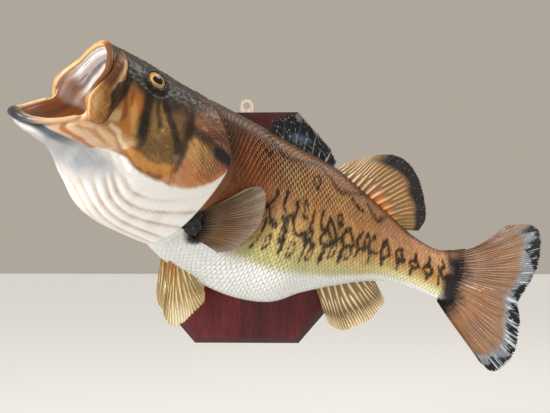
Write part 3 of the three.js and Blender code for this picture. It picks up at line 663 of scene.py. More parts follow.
def head_paint(q, a, p):
    """Head, cheeks and gill covers outside, and the throat."""
    f = folded(a)
    fine, mottle, cloud = wave_noise(p, 2.4, 30), wave_noise(p, 4, 31), wave_noise(p, 15, 32)
    front = ramp(q, 0.75, 0.95) * (1 - ramp(q, 1.75, 2.05)) * ramp(f, 46, 60)
    cover = ramp(q, 3.48, 3.6)
    crown = np.interp(q, [0, 0.8, 1.5, 2, 2.6, 3.1, 3.5, 4, 5],
                      [30, 46, 50, 58, 54, 56, 50, 42, 36]) + 4 * cloud
    top = curve(THROAT_TOP, np.clip(q * 2, 0, 10))[..., 0]
    white = ramp(f + 0.8 * mottle, top - 1.5, top + 2.0)
    jaw = (1 - ramp(q, 1.8, 2.4)) * ramp(f, 88, 98)
    grey = ramp(q, 0.4, 1.2) * (1 - ramp(q, 2.3, 3.3)) * ramp(f, 112, 126)
    _, crease = fold_lines(q, f)
    pleats = fold_area(q, f) * white * (0.7 + 0.3 * cloud)
    low = np.interp(q, [0, 0.45, 0.9, 1.75], [140, 134, 127, 120])
    return coats(fill("82653a", q.shape), [
        ("b08d57", ramp(0.6 * fine + mottle + 0.5 * cloud, 0.0, 1.3) * 0.8),
        ("55432a", ramp(mottle - fine, 0.7, 1.3) * 0.6),
        ("65492e", ramp(q, 2.8, 3.1) * (1 - ramp(f, 62, 76)) * 0.8),
        ("bf7430", front * (0.8 + 0.2 * cloud)),
        ("a9713c", (1 - ramp(q, 0.8, 1.0)) * ramp(f, 70, 84)),
        ("74503a", cover * (1 - ramp(f, 66, 74))),
        ("ba9158", cover * ramp(f, 66, 74) * (1 - ramp(q, 4.1, 4.5))),
        ("bd7f52", cover * ramp(f - 7 * (q - 3.9), 86, 94)),
        ("bd7f52", cover * ramp(q, 4.1, 4.5) * ramp(f, 76, 84)),
        ("d2a578", cover * ramp(fine + mottle, 0.5, 1.4) * 0.6),
        ("6d4429", cover * ramp(-fine - mottle, 0.6, 1.4) * 0.5),
        ("30281f", (1 - ramp(f, crown - 8, crown + 8)) * 0.96),
        ("1f1b17", (1 - ramp(f, crown - 30, crown - 10)) * 0.7),
        ("695a43", (1 - ramp(f, crown - 14, crown + 4)) * ramp(fine + mottle, 0.6, 1.5) * 0.45),
        *painted_lines(q, f, HEAD_LINES, 34, 1.3),
        ("dcb68e", jaw * (1 - white)),
        ("e6cdb6", jaw * bump(f, 100, 110, 118) * (0.6 + 0.4 * cloud) * (1 - white)),
        ("f3f1ee", white),
        # painted shade: grey over the white under the lower jaw and the front of the throat
        ("9ea4ab", white * grey * (0.85 + 0.2 * cloud + 0.1 * mottle)),
        ("ead2c2", white * bump(f, 152, 166, 178) * ramp(q, 2.2, 3.0) * 0.6),
        ("e3d3c6", white * ramp(cloud, 0.2, 1.0) * 0.35),
        # painted shade in the pleats' creases: a tan band with a brown-grey line
        ("e0d2c2", (1 - ramp(crease, 0.8, 3.2)) * pleats * 0.5),
        ("9c7a5c", (1 - ramp(crease, 0.4, 1.5)) * pleats * 0.6),
        *painted_lines(q, f, JAW_LINES, 35, 0.8),
        ("5d646b", ramp(f, low - 3, low + 2) * (1 - ramp(f, low + 10, low + 24))
         * (1 - ramp(q, 1.0, 1.8))),
        ("24282d", (1 - ramp(q, 0.2, 0.75)) * ramp(f, low - 6, low + 6)),
        ("1c2026", (1 - ramp(q, 0.05, 0.4)) * ramp(f, 118, 138)),
        *(("17130f", (1 - ramp(eye_distance(p, side), 12, 18 + 2.5 * mottle)) * 0.92) for side in SIDES),
    ])


def mouth_paint(depth, f, p):
    """Lining: satin white palate with grey painted shade in its folds and creases, brown floor in the jaw
    with an orange edge, and the gullet darkened by painted shade."""
    cloud = wave_noise(p, 12, 51)
    palate = 1 - ramp(f + 4 * cloud, 74, 94)
    fold = np.sin(depth * 34 + 1.2 * wave_noise(p, 16, 5))
    crease = np.abs(np.sin(depth * 26 + 0.5 * wave_noise(p, 20, 52) + 0.02 * f))
    ridge = bump(f + 5 * cloud, 18, 40, 66) * bump(depth, 0.15, 0.4, 0.7)
    return coats(fill("a86430", depth.shape), [
        ("7d4722", ramp(depth + 0.05 * cloud, 0.04, 0.2)),
        ("4f2913", ramp(np.sin(depth * 22 + 0.8 * cloud), 0.3, 1.0) * ramp(depth, 0.1, 0.2) * 0.6),
        ("d9a878", (1 - ramp(depth, 0.0, 0.04)) * (1 - palate)),
        ("f4f3f4", palate),
        # painted shade in the hollows of the palate's folds and in its creases
        ("6f6a6e", palate * ramp(-fold, 0.6, 1.0) * bump(depth, 0.1, 0.3, 0.9) * 0.75),
        ("6d5149", palate * (1 - ramp(crease, 0.0, 0.2)) * ramp(f, 15, 45) * bump(depth, 0.03, 0.2, 0.8)
         * 0.8),
        ("dba68f", palate * ridge * ramp(fold, -0.2, 0.8) * 0.7),
        ("d19a64", palate * (1 - ramp(depth, 0.02, 0.08))),
        ("ab7346", palate * ramp(f + 6 * cloud, 60, 80) * 0.85),
        # painted shade: the gullet darkened deep in the mouth
        ("4a2116", ramp(depth, 0.72, 1.0)),
    ])


def fish_paint(q, a, p, depth=0.0):
    """The colour of the fish at a station and angle: one set of markings for skin, plates and scales."""
    depth = np.broadcast_to(depth, q.shape)
    outer = mix(head_paint(q, a, p), body_paint(q, a, p), ramp(q, 4.98, 5.04)[..., None])
    nape = (ramp(q, 3.9, 4.9) * (1 - ramp(folded(a), 22, 34)))[..., None]
    outer = mix(outer, body_paint(np.maximum(q, 5.0), a, p), nape)
    return np.where((depth > 0)[..., None], mouth_paint(depth, folded(a), p), outer)


# ---- finishes ----
def new_finish(name, roughness, coat=0.0, metal=0.0):
    """A material with its shader; gloss is set on the shader's own sockets."""
    finish = bpy.data.materials.new(name)
    finish.use_nodes = True
    shader = finish.node_tree.nodes["Principled BSDF"]
    for socket, value in (("Roughness", roughness), ("Metallic", metal), ("Coat Weight", coat),
                          ("Coat Roughness", 0.2), ("Specular IOR Level", 0.25)):
        shader.inputs[socket].default_value = value
    return finish, finish.node_tree, shader


def add_node(tree, kind, **values):
    """A node with some of its inputs or settings filled in; another node's output is linked."""
    node = tree.nodes.new(kind)
    for key, value in values.items():
        if key not in node.inputs:
            setattr(node, key, value)
        elif isinstance(value, bpy.types.NodeSocket):
            tree.links.new(value, node.inputs[key])
        else:
            node.inputs[key].default_value = value
    return node


def noise(tree, scale, detail=3.0, stretch=(1, 1, 1)):
    """Noise on Object coordinates, with scale in cycles for each metre."""
    spot = add_node(tree, "ShaderNodeTexCoord").outputs["Object"]
    spot = add_node(tree, "ShaderNodeMapping", Scale=stretch, Vector=spot).outputs["Vector"]
    return add_node(tree, "ShaderNodeTexNoise", Scale=scale, Detail=detail, Vector=spot).outputs["Fac"]


def spread(tree, source, low, high, start=0.3, end=0.7):
    """Maps a texture's value from start..end to low..high."""
    limits = {"From Min": start, "From Max": end, "To Min": low, "To Max": high}
    return add_node(tree, "ShaderNodeMapRange", Value=source, **limits).outputs["Result"]


def dimmed(tree, colour, share):
    """A colour times a share of it."""
    node = add_node(tree, "ShaderNodeVectorMath", operation="SCALE", Scale=share)
    tree.links.new(colour, node.inputs[0])
    return node.outputs["Vector"]


def add_bump(tree, shader, height, distance):
    """Presses a texture into the surface, to a depth in metres."""
    node = add_node(tree, "ShaderNodeBump", Strength=1.0, Distance=distance, Height=height)
    tree.links.new(node.outputs["Normal"], shader.inputs["Normal"])


def painted_finish(name, roughness, coat, grain, speckle, depth):
    """Lacquered paint: the piece's own paint attribute, broken by fine speckle of a grain's size in
    mm, with the speckle pressed into the surface and a little change in gloss."""
    finish, tree, shader = new_finish(name, roughness, coat)
    paint = add_node(tree, "ShaderNodeAttribute", attribute_name="paint").outputs["Color"]
    fine = noise(tree, 1000 / grain, 4)
    colour = dimmed(tree, paint, spread(tree, fine, 1 - speckle, 1 + speckle))
    gloss = spread(tree, noise(tree, 60, 2), roughness - 0.08, roughness + 0.1)
    tree.links.new(colour, shader.inputs["Base Color"])
    tree.links.new(gloss, shader.inputs["Roughness"])
    add_bump(tree, shader, fine, depth * MM)
    return finish


def wood_finish(look):
    """Stained board: long streaks up the grain in three reds, dark pores, darker stain on the sloping
    edge, and a satin varnish."""
    finish, tree, shader = new_finish("stained_board", 0.32, 0.35)
    spot = add_node(tree, "ShaderNodeTexCoord").outputs["Object"]
    facing = add_node(tree, "ShaderNodeNewGeometry").outputs["True Normal"]
    streak = add_node(tree, "ShaderNodeMath", operation="MULTIPLY_ADD")
    tree.links.new(noise(tree, 42, 5, (1, 1, 0.06)), streak.inputs[0])
    streak.inputs[1].default_value = 0.7
    tree.links.new(spread(tree, noise(tree, 9, 3, (1, 1, 0.4)), 0.0, 0.32), streak.inputs[2])
    reds = add_node(tree, "ShaderNodeValToRGB", Fac=streak.outputs["Value"])
    stops = [(0.28, look.wood_dark), (0.5, look.wood_colour), (0.72, look.wood_light)]
    while len(reds.color_ramp.elements) < len(stops):
        reds.color_ramp.elements.new(0.5)
    for element, (position, colour) in zip(reds.color_ramp.elements, stops):
        element.position = position
        element.color = (*colour, 1)
    pores = noise(tree, 420, 2, (1, 1, 0.12))
    holes = add_node(tree, "ShaderNodeTexVoronoi", Scale=62.0, Vector=spot).outputs["Distance"]
    slope = add_node(tree, "ShaderNodeSeparateXYZ", Vector=facing).outputs["Y"]
    height = add_node(tree, "ShaderNodeSeparateXYZ", Vector=spot).outputs["Z"]
    colour = reds.outputs["Color"]
    for share in (spread(tree, pores, 0.72, 1.1, 0.35, 0.6), spread(tree, holes, 0.12, 1.0, 0.05, 0.075),
                  spread(tree, slope, 1.0, 0.45, -0.99, -0.9), spread(tree, height, 1.0, 0.45, 0.02, 0.13)):
        colour = dimmed(tree, colour, share)
    tree.links.new(colour, shader.inputs["Base Color"])
    add_bump(tree, shader, pores, 0.25 * MM)
    return finish


def steel_finish(look):
    """Plain zinc-coated steel: fine brushed streaks with dull patches."""
    finish, tree, shader = new_finish("hanger_steel", 0.36, 0.0, 0.75)
    brushed = noise(tree, 900, 3, (1, 1, 0.05))
    dull = spread(tree, noise(tree, 90, 3), 1.0, 0.72, 0.45, 0.75)
    colour = add_node(tree, "ShaderNodeRGB").outputs["Color"]
    colour.default_value = (*look.steel_colour, 1)
    tree.links.new(dimmed(tree, colour, dull), shader.inputs["Base Color"])
    tree.links.new(spread(tree, brushed, 0.28, 0.5), shader.inputs["Roughness"])
    add_bump(tree, shader, brushed, 0.05 * MM)
    return finish


def plain_finish(name, colour, roughness):
    finish, _, shader = new_finish(name, roughness)
    shader.inputs["Base Color"].default_value = (*colour, 1)
    return finish


# ---- settings ----
def colour_property(name, description, code):
    return bpy.props.FloatVectorProperty(
        name=name, description=description, subtype="COLOR", size=3, min=0, max=1, default=tuple(tone(code)))


class BassLooks(bpy.types.PropertyGroup):
    """Sizes and colours that a user would change."""

    wood_colour: colour_property("Board", "Middle red of the stained board", "521319")
    wood_dark: colour_property("Board Dark", "Dark streaks of the stained board", "230a0d")
    wood_light: colour_property("Board Light", "Light streaks of the stained board", "7c2426")
    steel_colour: colour_property("Hanger", "Colour of the hanger tab", "e2d2c4")
    floor_colour: colour_property("Floor", "Pale floor under the model", "d9d8d6")
    skin_gloss: bpy.props.FloatProperty(
        name="Lacquer", description="Weight of the clear coat on skin and fins", default=0.18, min=0, max=1,
        subtype="FACTOR")
    scale_pitch: bpy.props.FloatProperty(
        name="Scale Pitch", description="Distance between scales along a row, in mm", default=5.1, min=2,
        max=12)
    floor_drop: bpy.props.FloatProperty(
        name="Floor Level", description="Height of the floor below the board's centre", default=0.33, min=0.2,
        max=2, unit="LENGTH")


def looks():
    return bpy.context.scene.bass_looks


def finish_for(name):
    """The finish of that name, made at its first use."""
    made = bpy.data.materials.get(name)
    if made:
        return made
    gloss = looks().skin_gloss
    recipes = {
        "painted_skin": lambda: painted_finish(name, 0.38, gloss, 1.6, 0.06, 0.1),
        "painted_scale": lambda: painted_finish(name, 0.32, gloss, 2.2, 0.1, 0.05),
        "painted_fin": lambda: painted_finish(name, 0.36, gloss, 2.0, 0.12, 0.06),
        "glass_eye": lambda: painted_finish(name, 0.22, 0.5, 3.0, 0.03, 0.0),
        "stained_board": lambda: wood_finish(looks()),
        "hanger_steel": lambda: steel_finish(looks()),
    }
    return recipes[name]()


# ---- pieces ----
class BASS_OT_skin(bpy.types.Operator):
    """One closed skin over head, throat, trunk and tail, turned in over the lips to line the mouth"""

    bl_idname = "bass.skin"
    bl_label = "Skin"

    def execute(self, context):
        skin = skin_grid()
        p = skin["p"]
        paint = with_poles(fish_paint(skin["q"], skin["a"], p, skin["depth"]))
        add_piece("skin", capped(p, p[0].mean(0), p[-1].mean(0)), paint, "painted_skin", "skin_brown",
                  "head", "lower_jaw", "throat", "trunk", "tail_stalk", uv=unwrap_corners(*skin["q"].shape))
        return {"FINISHED"}


def unwrap_corners(rows, columns):
    """The bake map of the skin: u along the fish from gullet to tail, v round it, one strip to a row."""
    u, v = (np.arange(rows) + 1) / (rows + 1), np.arange(columns + 1) / columns
    corner = lambda x, y: np.stack(np.broadcast_arrays(x, y), -1)
    low, high, left, right = u[:-1, None], u[1:, None], v[:-1], v[1:]
    body = np.stack([corner(low, left), corner(low, right), corner(high, right), corner(high, left)], 2)
    start = np.stack([corner(u[0], right), corner(u[0], left), corner(0.0, left)], 1)
    end = np.stack([corner(u[-1], left), corner(u[-1], right), corner(1.0, left)], 1)
    return [body.reshape(-1, 4, 2), start, end]


# ---- plates of the head ----
COVER_FRONT = [[3.62, 30], [3.66, 46], [3.5, 70], [3.42, 84], [3.7, 99], [4.06, 109]]
COVER_REAR = [[3.74, 29], [4.15, 44], [4.72, 60], [4.93, 74], [4.97, 84], [4.9, 93]]
CHEEK_FRONT = [[1.5, 62], [1.5, 78], [1.72, 96], [2.15, 110], [2.75, 118]]
CHEEK_REAR = [[3.45, 36], [3.42, 60], [3.2, 84], [3.52, 98], [3.85, 109]]
BLADE_LINE = [[0.5, 18], [0.5, 40], [0.46, 60], [0.42, 78], [0.42, 96]]
BLADE_HALF = [[0.16], [0.32], [0.42], [0.48], [0.44]]


def between(front, rear, u, v):
    """Station and angle across a plate: from its front line (u = 0) to its rear line (u = 1)."""
    a, b = curve(front, v * (len(front) - 1)), curve(rear, v * (len(rear) - 1))
    return mix(a[..., 0], b[..., 0], u), mix(a[..., 1], b[..., 1], u)


def blade_place(u, v):
    """Station and angle across the upper jaw blade: its middle line, plus or minus half its breadth, with
    both ends rounded."""
    line = curve(BLADE_LINE, v * 4)
    taper = np.sqrt(1 - 0.9 * ramp(v, 0.86, 1.0) ** 3) * (0.4 + 0.6 * ramp(v, 0, 0.1))
    return line[..., 0] + curve(BLADE_HALF, v * 4)[..., 0] * taper * (2 * u - 1), line[..., 1]


def cheek_height(u, v, p):
    """Swollen cheek muscle that melts into the snout and under the eye, with a rounded step along its
    rear edge and a groove inside the lower and the rear rim."""
    body = 1.5 + 3.2 * arch(mix(0.04, 0.96, u)) * arch(mix(0.04, 0.9, v))
    melt = ramp(u, 0.0, 0.35) * ramp(v, 0.0, 0.45)
    edge = (1 - ramp(u, 0.95, 1.0) ** 2) * (1 - ramp(v, 0.96, 1.0) ** 2)
    groove = 1.5 * bump(v, 0.7, 0.8, 0.88) * ramp(u, 0.1, 0.35)
    groove = groove + bump(u, 0.76, 0.85, 0.93) * ramp(v, 0.3, 0.6)
    rough = 0.35 * wave_noise(p, 6, 61) + 0.2 * wave_noise(p, 2.6, 60)
    return mix(-2.2, mix(0.2, body - groove + rough, edge), melt)


def cover_height(u, v, p):
    """Gill cover: low in front, where it passes under the cheek, and crowned to its thin rear rim, with
    faint ribs that spread from the upper front corner."""
    body = 1.6 + 2.2 * arch(mix(0.5, 0.98, u)) + 0.8 * arch(v)
    ribs = 0.3 * np.sin(26 * v / (0.35 + u)) * bump(u, 0.1, 0.6, 1.0)
    edge = (1 - 0.6 * ramp(u, 0.95, 1.0) ** 2) * (1 - 0.8 * ramp(v, 0.95, 1.0) ** 2)
    rough = 0.25 * wave_noise(p, 5, 62) + 0.2 * wave_noise(p, 2.2, 65)
    return mix(-2.0, (body + ribs + rough) * edge, ramp(v, 0.0, 0.45) ** 0.8 * ramp(u, 0.0, 0.5))


def blade_height(u, v, p):
    """Upper jaw blade: a long swelling with a hollow down its face and a raised rim behind it."""
    body = 2.2 + 4.2 * arch(mix(0.08, 0.92, u)) * ramp(v, 0, 0.3)
    hollow = 2.4 * bump(u, 0.25, 0.58, 0.84) * bump(v, 0.12, 0.5, 0.9)
    rim = 1.0 * bump(u, 0.74, 0.9, 1.0) * ramp(v, 0.2, 0.5)
    return (body - hollow + rim) * (1 - 0.7 * ramp(v, 0.93, 1.0) ** 2) + 0.3 * wave_noise(p, 4, 63)


def blade_paint(u, v, p):
    """Upper jaw blade: brown by the lip, cream down its middle, black behind as painted shade where it meets
    the cheek, and a tan lower lobe.
    """
    cloud, fine = wave_noise(p, 8, 64), wave_noise(p, 3, 66)
    high = 1 - ramp(v, 0.5, 0.66)
    rear = 0.72 - 0.22 * bump(v, 0.35, 0.58, 0.8) + 0.05 * cloud
    return coats(fill("9a6a37", u.shape), [
        ("7d4f27", ramp(cloud + 0.6 * fine + 1.2 * u - 0.6, 0.0, 0.9) * 0.8),
        ("4a2814", high * (1 - ramp(u + 0.05 * cloud, 0.28, 0.56)) * 0.92),
        ("d2ac80", high * bump(u + 0.04 * cloud, 0.44, 0.66, 0.82) * ramp(v, 0.12, 0.35)),
        ("6b3a1c", high * ramp(fine + cloud, 0.5, 1.2) * (1 - ramp(v, 0.2, 0.4)) * 0.8),
        # painted shade: the blade's rear darkened where it meets the cheek
        ("17100c", ramp(u, rear, rear + 0.14) * (1 - ramp(v, 0.72, 0.9)) * 0.95),
        ("cba069", (1 - high) * bump(u, -0.3, 0.22, 0.6) * bump(v, 0.6, 0.78, 1.0) * 0.6),
        ("5a3417", (1 - high) * ramp(u, 0.82, 0.98) * 0.8),
        ("d8ab74", (1 - ramp(u, 0.0, 0.08)) * ramp(v, 0.5, 0.7) * 0.8),
    ])


# Each plate: its place on the head, its height in mm, columns, rows and slot.
PLATES = {
    "cheek": (lambda u, v: between(CHEEK_FRONT, CHEEK_REAR, u, v), cheek_height, 84, 88, "skin_brown"),
    "gill_cover": (lambda u, v: between(COVER_FRONT, COVER_REAR, u, v), cover_height, 72, 96, "skin_brown"),
    "maxilla": (blade_place, blade_height, 40, 96, "jaw"),
}
# Depth of a plate's hidden face under the skin: at its front, at its rear, and more for cheek and cover.
FRONT_SINK, REAR_SINK, FACE_SINK = 2.4, 0.6, 1.2


class BASS_OT_plates(bpy.types.Operator):
    """Cheeks, gill covers and upper jaw blades, each a closed plate that follows the skin"""

    bl_idname = "bass.plates"
    bl_label = "Head Plates"

    def execute(self, context):
        for kind in PLATES:
            for side in SIDES:
                self.make_plate(kind, side)
        return {"FINISHED"}

    def make_plate(self, kind, side):
        place_on_head, height, columns, rows, slot = PLATES[kind]
        blade = kind == "maxilla"
        v, u = np.meshgrid(np.linspace(0, 1, rows), np.linspace(0, 1, columns), indexing="ij")
        q, a = place_on_head(u, v)
        a = side_angle(a, side)
        outer = on_skin(HEAD, q, a, height(u, v, on_skin(HEAD, q, a)))
        inner = on_skin(HEAD, q, a, -mix(FRONT_SINK, REAR_SINK, u) - (0.0 if blade else FACE_SINK))
        colour = blade_paint(u, v, outer) if blade else fish_paint(q, a, outer)
        paint = np.tile(colour.reshape(-1, 3), (2, 1))
        add_piece(f"{kind}_{side}", slab(outer, inner), paint, "painted_skin", slot, f"{kind}_{side}")
        CACHE[kind, side] = outer, q, a


# ---- lips ----
# First and last angle, radius in mm, swelling at the chin, and slot.
LIPS = {"upper_lip": (-88, 88, 3.8, 0.0, "jaw"), "lower_lip": (100, 260, 4.2, 0.42, "lip_dark")}
LIP_STEPS, LIP_SIDES = 180, 20


def lip_rings(start, end, radius, chin):
    """Rings along the mouth's rim from one angle to the other: squashed circles, uneven by a little
    noise, that thin at both ends. Gives also their path, place along the lip and turn."""
    f = np.linspace(0, 1, LIP_STEPS)
    rim = lambda g: pose(ring_point(HEAD, 0.02, mix(start, end, g), 0.955))
    path = rim(f)
    ahead = unit(rim(f + 0.01) - rim(f - 0.01))
    out = path - pose(ring_point(HEAD, 0.02, 0.0, 0.0))
    across = unit(out - ahead * (out * ahead).sum(-1, keepdims=True))
    other = np.cross(across, ahead)
    turn = np.linspace(0, 2 * np.pi, LIP_SIDES, endpoint=False)
    even = ring_sweep(path, np.full((LIP_STEPS, 1), 4.0), across, other, turn, 1)
    uneven = 1 + 0.07 * wave_noise(even, 5, 71)
    middle = 1 - np.abs(2 * f - 1)
    radius = radius * (0.45 + 0.55 * ramp(np.minimum(f, 1 - f), 0, 0.035))
    radius = radius * (1 + chin * ramp(middle, 0.72, 0.97))
    if chin:
        radius = radius * mix(0.78, 1.0, ramp(middle, 0.35, 0.75))
    return ring_sweep(path, radius[:, None] * uneven, across, other, turn, 0.9), path, f[:, None], turn


def upper_lip_paint(ring, f, outward):
    """Tan, paler inside, with a brown flank on the near side."""
    near = ramp(f, 0.46, 0.58) * (1 - ramp(f, 0.9, 1.0))
    return coats(fill("c39a6a", outward.shape), [
        ("a8733f", 0.4 + 0.5 * wave_noise(ring, 8, 72)),
        ("e6c496", ramp(-outward, 0.1, 0.9) * 0.6),
        ("5a3218", ramp(outward, -0.92, -0.5) * (0.3 + 0.7 * near) * near * 0.92),
    ])


def lower_lip_paint(ring, f, outward):
    """Tan at the corners, grey and then blue-black toward the chin."""
    middle = 1 - np.abs(2 * f - 1)
    return coats(fill("cba27a", outward.shape), [
        ("dfbf98", ramp(-outward, 0, 0.8)),
        ("4a515b", ramp(middle, 0.35, 0.7) * ramp(outward, -0.5, 0.4)),
        ("15191f", ramp(middle, 0.66, 0.88) * (0.8 + 0.2 * wave_noise(ring, 6, 73))),
        ("8b949d", ramp(wave_noise(ring, 3, 74), 0.9, 1.4) * ramp(middle, 0.5, 0.8) * 0.6),
    ])


class BASS_OT_lips(bpy.types.Operator):
    """Rounded lips round the mouth's rim"""

    bl_idname = "bass.lips"
    bl_label = "Lips"

    def execute(self, context):
        for name, (start, end, radius, chin, slot) in LIPS.items():
            rings, path, f, turn = lip_rings(start, end, radius, chin)
            outward = np.broadcast_to(np.cos(turn), rings.shape[:2])
            paint = upper_lip_paint if name == "upper_lip" else lower_lip_paint
            add_piece(name, capped(rings, path[0], path[-1]), with_poles(paint(rings, f, outward)),
                      "painted_skin", slot, name)
        return {"FINISHED"}


# ---- eyes ----
PUPIL = (5.6, 4.2)
PUPIL_DROP, PUPIL_BACK = 3.2, 1.6
IRIS_EDGE = 10.6
EYE_RINGS, EYE_SIDES = 89, 96
RIM_STEPS, RIM_SIDES = 120, 14
RIM = {"circle": 11.6, "rise": 0.2, "radius": 1.9, "squash": 0.75}


class BASS_OT_eyes(bpy.types.Operator):
    """Glass eyes with a drawn-out pupil, and the wrinkled dark rim of skin round each"""

    bl_idname = "bass.eyes"
    bl_label = "Eyes"

    def execute(self, context):
        for side in SIDES:
            self.make_eye(side)
        return {"FINISHED"}

    def make_eye(self, side):
        q, a = np.array(EYE["station"]), np.array(float(side_angle(EYE["angle"], side)))
        r = EYE["radius"]
        base = on_skin(HEAD, q, a)
        out = unit(on_skin(HEAD, q, a, 1.0) - base)
        ahead = unit(pose(ring_point(HEAD, q - 0.05, a)) - base)
        ahead = unit(ahead - out * (ahead @ out))
        above = np.cross(out, ahead)
        centre = base + out * (EYE["proud"] - r)
        tilt = np.pi * (np.arange(1, EYE_RINGS + 1) / (EYE_RINGS + 1))[:, None] ** 1.25
        turn = np.linspace(0, 2 * np.pi, EYE_SIDES, endpoint=False)
        x, y = r * np.sin(tilt) * np.cos(turn), r * np.sin(tilt) * np.sin(turn)
        rings = centre + (r * np.cos(tilt))[..., None] * out + x[..., None] * ahead + y[..., None] * above
        paint = self.eye_paint(x + PUPIL_DROP * ahead[2] - PUPIL_BACK, y + PUPIL_DROP * above[2], tilt)
        paint = np.concatenate([paint.reshape(-1, 3), [tone("060606"), tone("1c120a")]])
        add_piece(f"eye_{side}", capped(rings, centre + r * out, centre - r * out), paint, "glass_eye", "eye",
                  f"eye_{side}")
        self.make_rim(side, base, out, ahead, above)

    def eye_paint(self, x, y, tilt):
        """Black pupil drawn out toward the snout, a pale ring round it, amber iris with fine rays, and a
        dark outer edge."""
        away, angle = np.hypot(x, y), np.arctan2(y, x)
        pupil = np.hypot(x / PUPIL[0], y / PUPIL[1]) - 0.1 * np.maximum(x, 0) / PUPIL[0]
        edge = ramp(away, IRIS_EDGE - 0.6, IRIS_EDGE + 0.8) * ramp(tilt, 0.75, 0.95)
        return coats(fill("b9843f", x.shape), [
            ("8a5b2a", 0.5 + 0.3 * np.sin(angle * 41) + 0.2 * np.sin(angle * 67 + away)),
            ("c99c54", bump(away, 5.4, 7.2, 8.8) * 0.75),
            ("d3b06e", bump(pupil, 0.95, 1.12, 1.35) * 0.8),
            ("3a2412", 1 - ramp(pupil, 0.96, 1.1)),
            ("060505", 1 - ramp(pupil, 0.8, 0.98)),
            ("17110c", edge + ramp(tilt, 1.1, 1.25)),
        ])

    def make_rim(self, side, base, out, ahead, above):
        """Fleshy ring round the eye: a rod on a circle, lumpy with short wrinkles."""
        turn = np.linspace(0, 2 * np.pi, RIM_STEPS, endpoint=False)[:, None]
        around = np.linspace(0, 2 * np.pi, RIM_SIDES, endpoint=False)
        spoke = np.cos(turn) * ahead + np.sin(turn) * above
        lumps = 1 + 0.14 * np.sin(turn * 23) * np.cos(around) + 0.12 * np.sin(turn * 9 + 1)
        path = base + spoke * RIM["circle"] + out * RIM["rise"]
        rings = ring_sweep(path, RIM["radius"] * lumps, spoke, np.broadcast_to(out, path.shape), around,
                           RIM["squash"])
        paint = coats(fill("1a1714", rings.shape[:2]), [("4a4236", 0.5 * (wave_noise(rings, 3, 81) > 0.35))])
        shape = rings.reshape(-1, 3), [quads(RIM_STEPS, RIM_SIDES, wrap=True, closed=True)]
        add_piece(f"eye_rim_{side}", shape, paint, "painted_skin", "skin_dark")


# ---- fins ----
def on_plane(points):
    return [[x, 0, z] for x, z in points]


PECTORAL_TIP = [
    [-16, 62, 51], [5, 62, 50], [16, 62, 38], [17, 61, 20], [14, 60, 4], [1, 58, -9], [-17, 56, -20],
    [-40, 53, -22]]
PELVIC_ROOT = [[-90, 12, -30], [-82, 12, -34], [-72, 12, -38]]
PELVIC_TIP = [
    [-99, 25, -79], [-96, 26, -96], [-85, 27, -109], [-71, 27, -105], [-57, 25, -93], [-47, 23, -84],
    [-46, 21, -74]]
# Root and tip lines are x, sideways toward the near side, z in the flat fish.
FINS = {
    "caudal_fin": {
        "root": on_plane([(230, -31), (230, -57), (220, -86)]),
        "tip": on_plane([(298, -1), (324, -1), (334, -11), (334, -30), (329, -52), (319, -70), (309, -88),
                         (310, -110), (304, -140), (292, -157), (279, -163), (266, -153)]),
        "rays": 24, "root_thick": 9, "tip_thick": 1.2, "cup": 4, "waist": 9, "ragged": 0.035,
        "slot": "fin_brown"},
    "soft_dorsal_fin": {
        "root": on_plane([(104, 56), (121, 42), (138, 27), (155, 10), (172, -6)]),
        "tip": on_plane([(115, 71), (143, 79), (160, 82), (178, 80), (193, 69), (203, 50), (208, 27),
                         (209, 8), (201, -6)]),
        "rays": 13, "root_thick": 7, "tip_thick": 1.2, "cup": 3, "ragged": 0.02, "slot": "fin_brown"},
    "spiny_dorsal_fin": {
        "root": on_plane([(28, 98), (65, 78), (102, 58)]),
        "tip": on_plane([(31, 121), (44, 127), (57, 129), (71, 121), (86, 106), (97, 92), (107, 76)]),
        "rays": 9, "root_thick": 6, "tip_thick": 1.4, "ragged": 0.12, "spines": True, "slot": "fin_dark"},
    "anal_fin": {
        "root": on_plane([(80, -62), (112, -58), (146, -54)]),
        "tip": on_plane([(96, -111), (105, -118), (116, -120), (131, -114), (146, -106), (157, -94),
                         (161, -86), (157, -77)]),
        "rays": 9, "root_thick": 7, "tip_thick": 1.2, "cup": -2, "ragged": 0.03, "slot": "fin_cream"},
    "pectoral_fin_left": {
        "root": [[-81, 36, 22], [-79, 36, 12], [-72, 34, -2]], "tip": PECTORAL_TIP,
        "rays": 15, "root_thick": 8, "tip_thick": 1.2, "cup": 4, "ragged": 0.02, "slot": "fin_brown"},
    "pectoral_fin_right": {
        "root": [[-78, -38, 22], [-76, -38, 12], [-70, -37, 0]],
        "tip": [[-38, -54, 42], [-24, -54, 40], [-14, -54, 32], [-12, -53, 18], [-14, -53, 4], [-22, -53, -8],
                [-34, -53, -15], [-48, -52, -18]],
        "rays": 15, "root_thick": 8, "tip_thick": 1.2, "cup": -5, "ragged": 0.02, "slot": "fin_brown"},
    "pelvic_fin_left": {
        "root": PELVIC_ROOT, "tip": PELVIC_TIP,
        "rays": 6, "root_thick": 8, "tip_thick": 1.4, "cup": 3, "ragged": 0.03, "slot": "fin_cream"},
    "pelvic_fin_right": {
        "root": [[x, -s, z] for x, s, z in PELVIC_ROOT],
        "tip": [[x + 2, -0.75 * s, z + 2] for x, s, z in PELVIC_TIP],
        "rays": 6, "root_thick": 8, "tip_thick": 1.4, "cup": 3, "ragged": 0.03, "slot": "fin_cream"},
}
FIN_ROWS = 72
COLUMNS_PER_RAY = 16


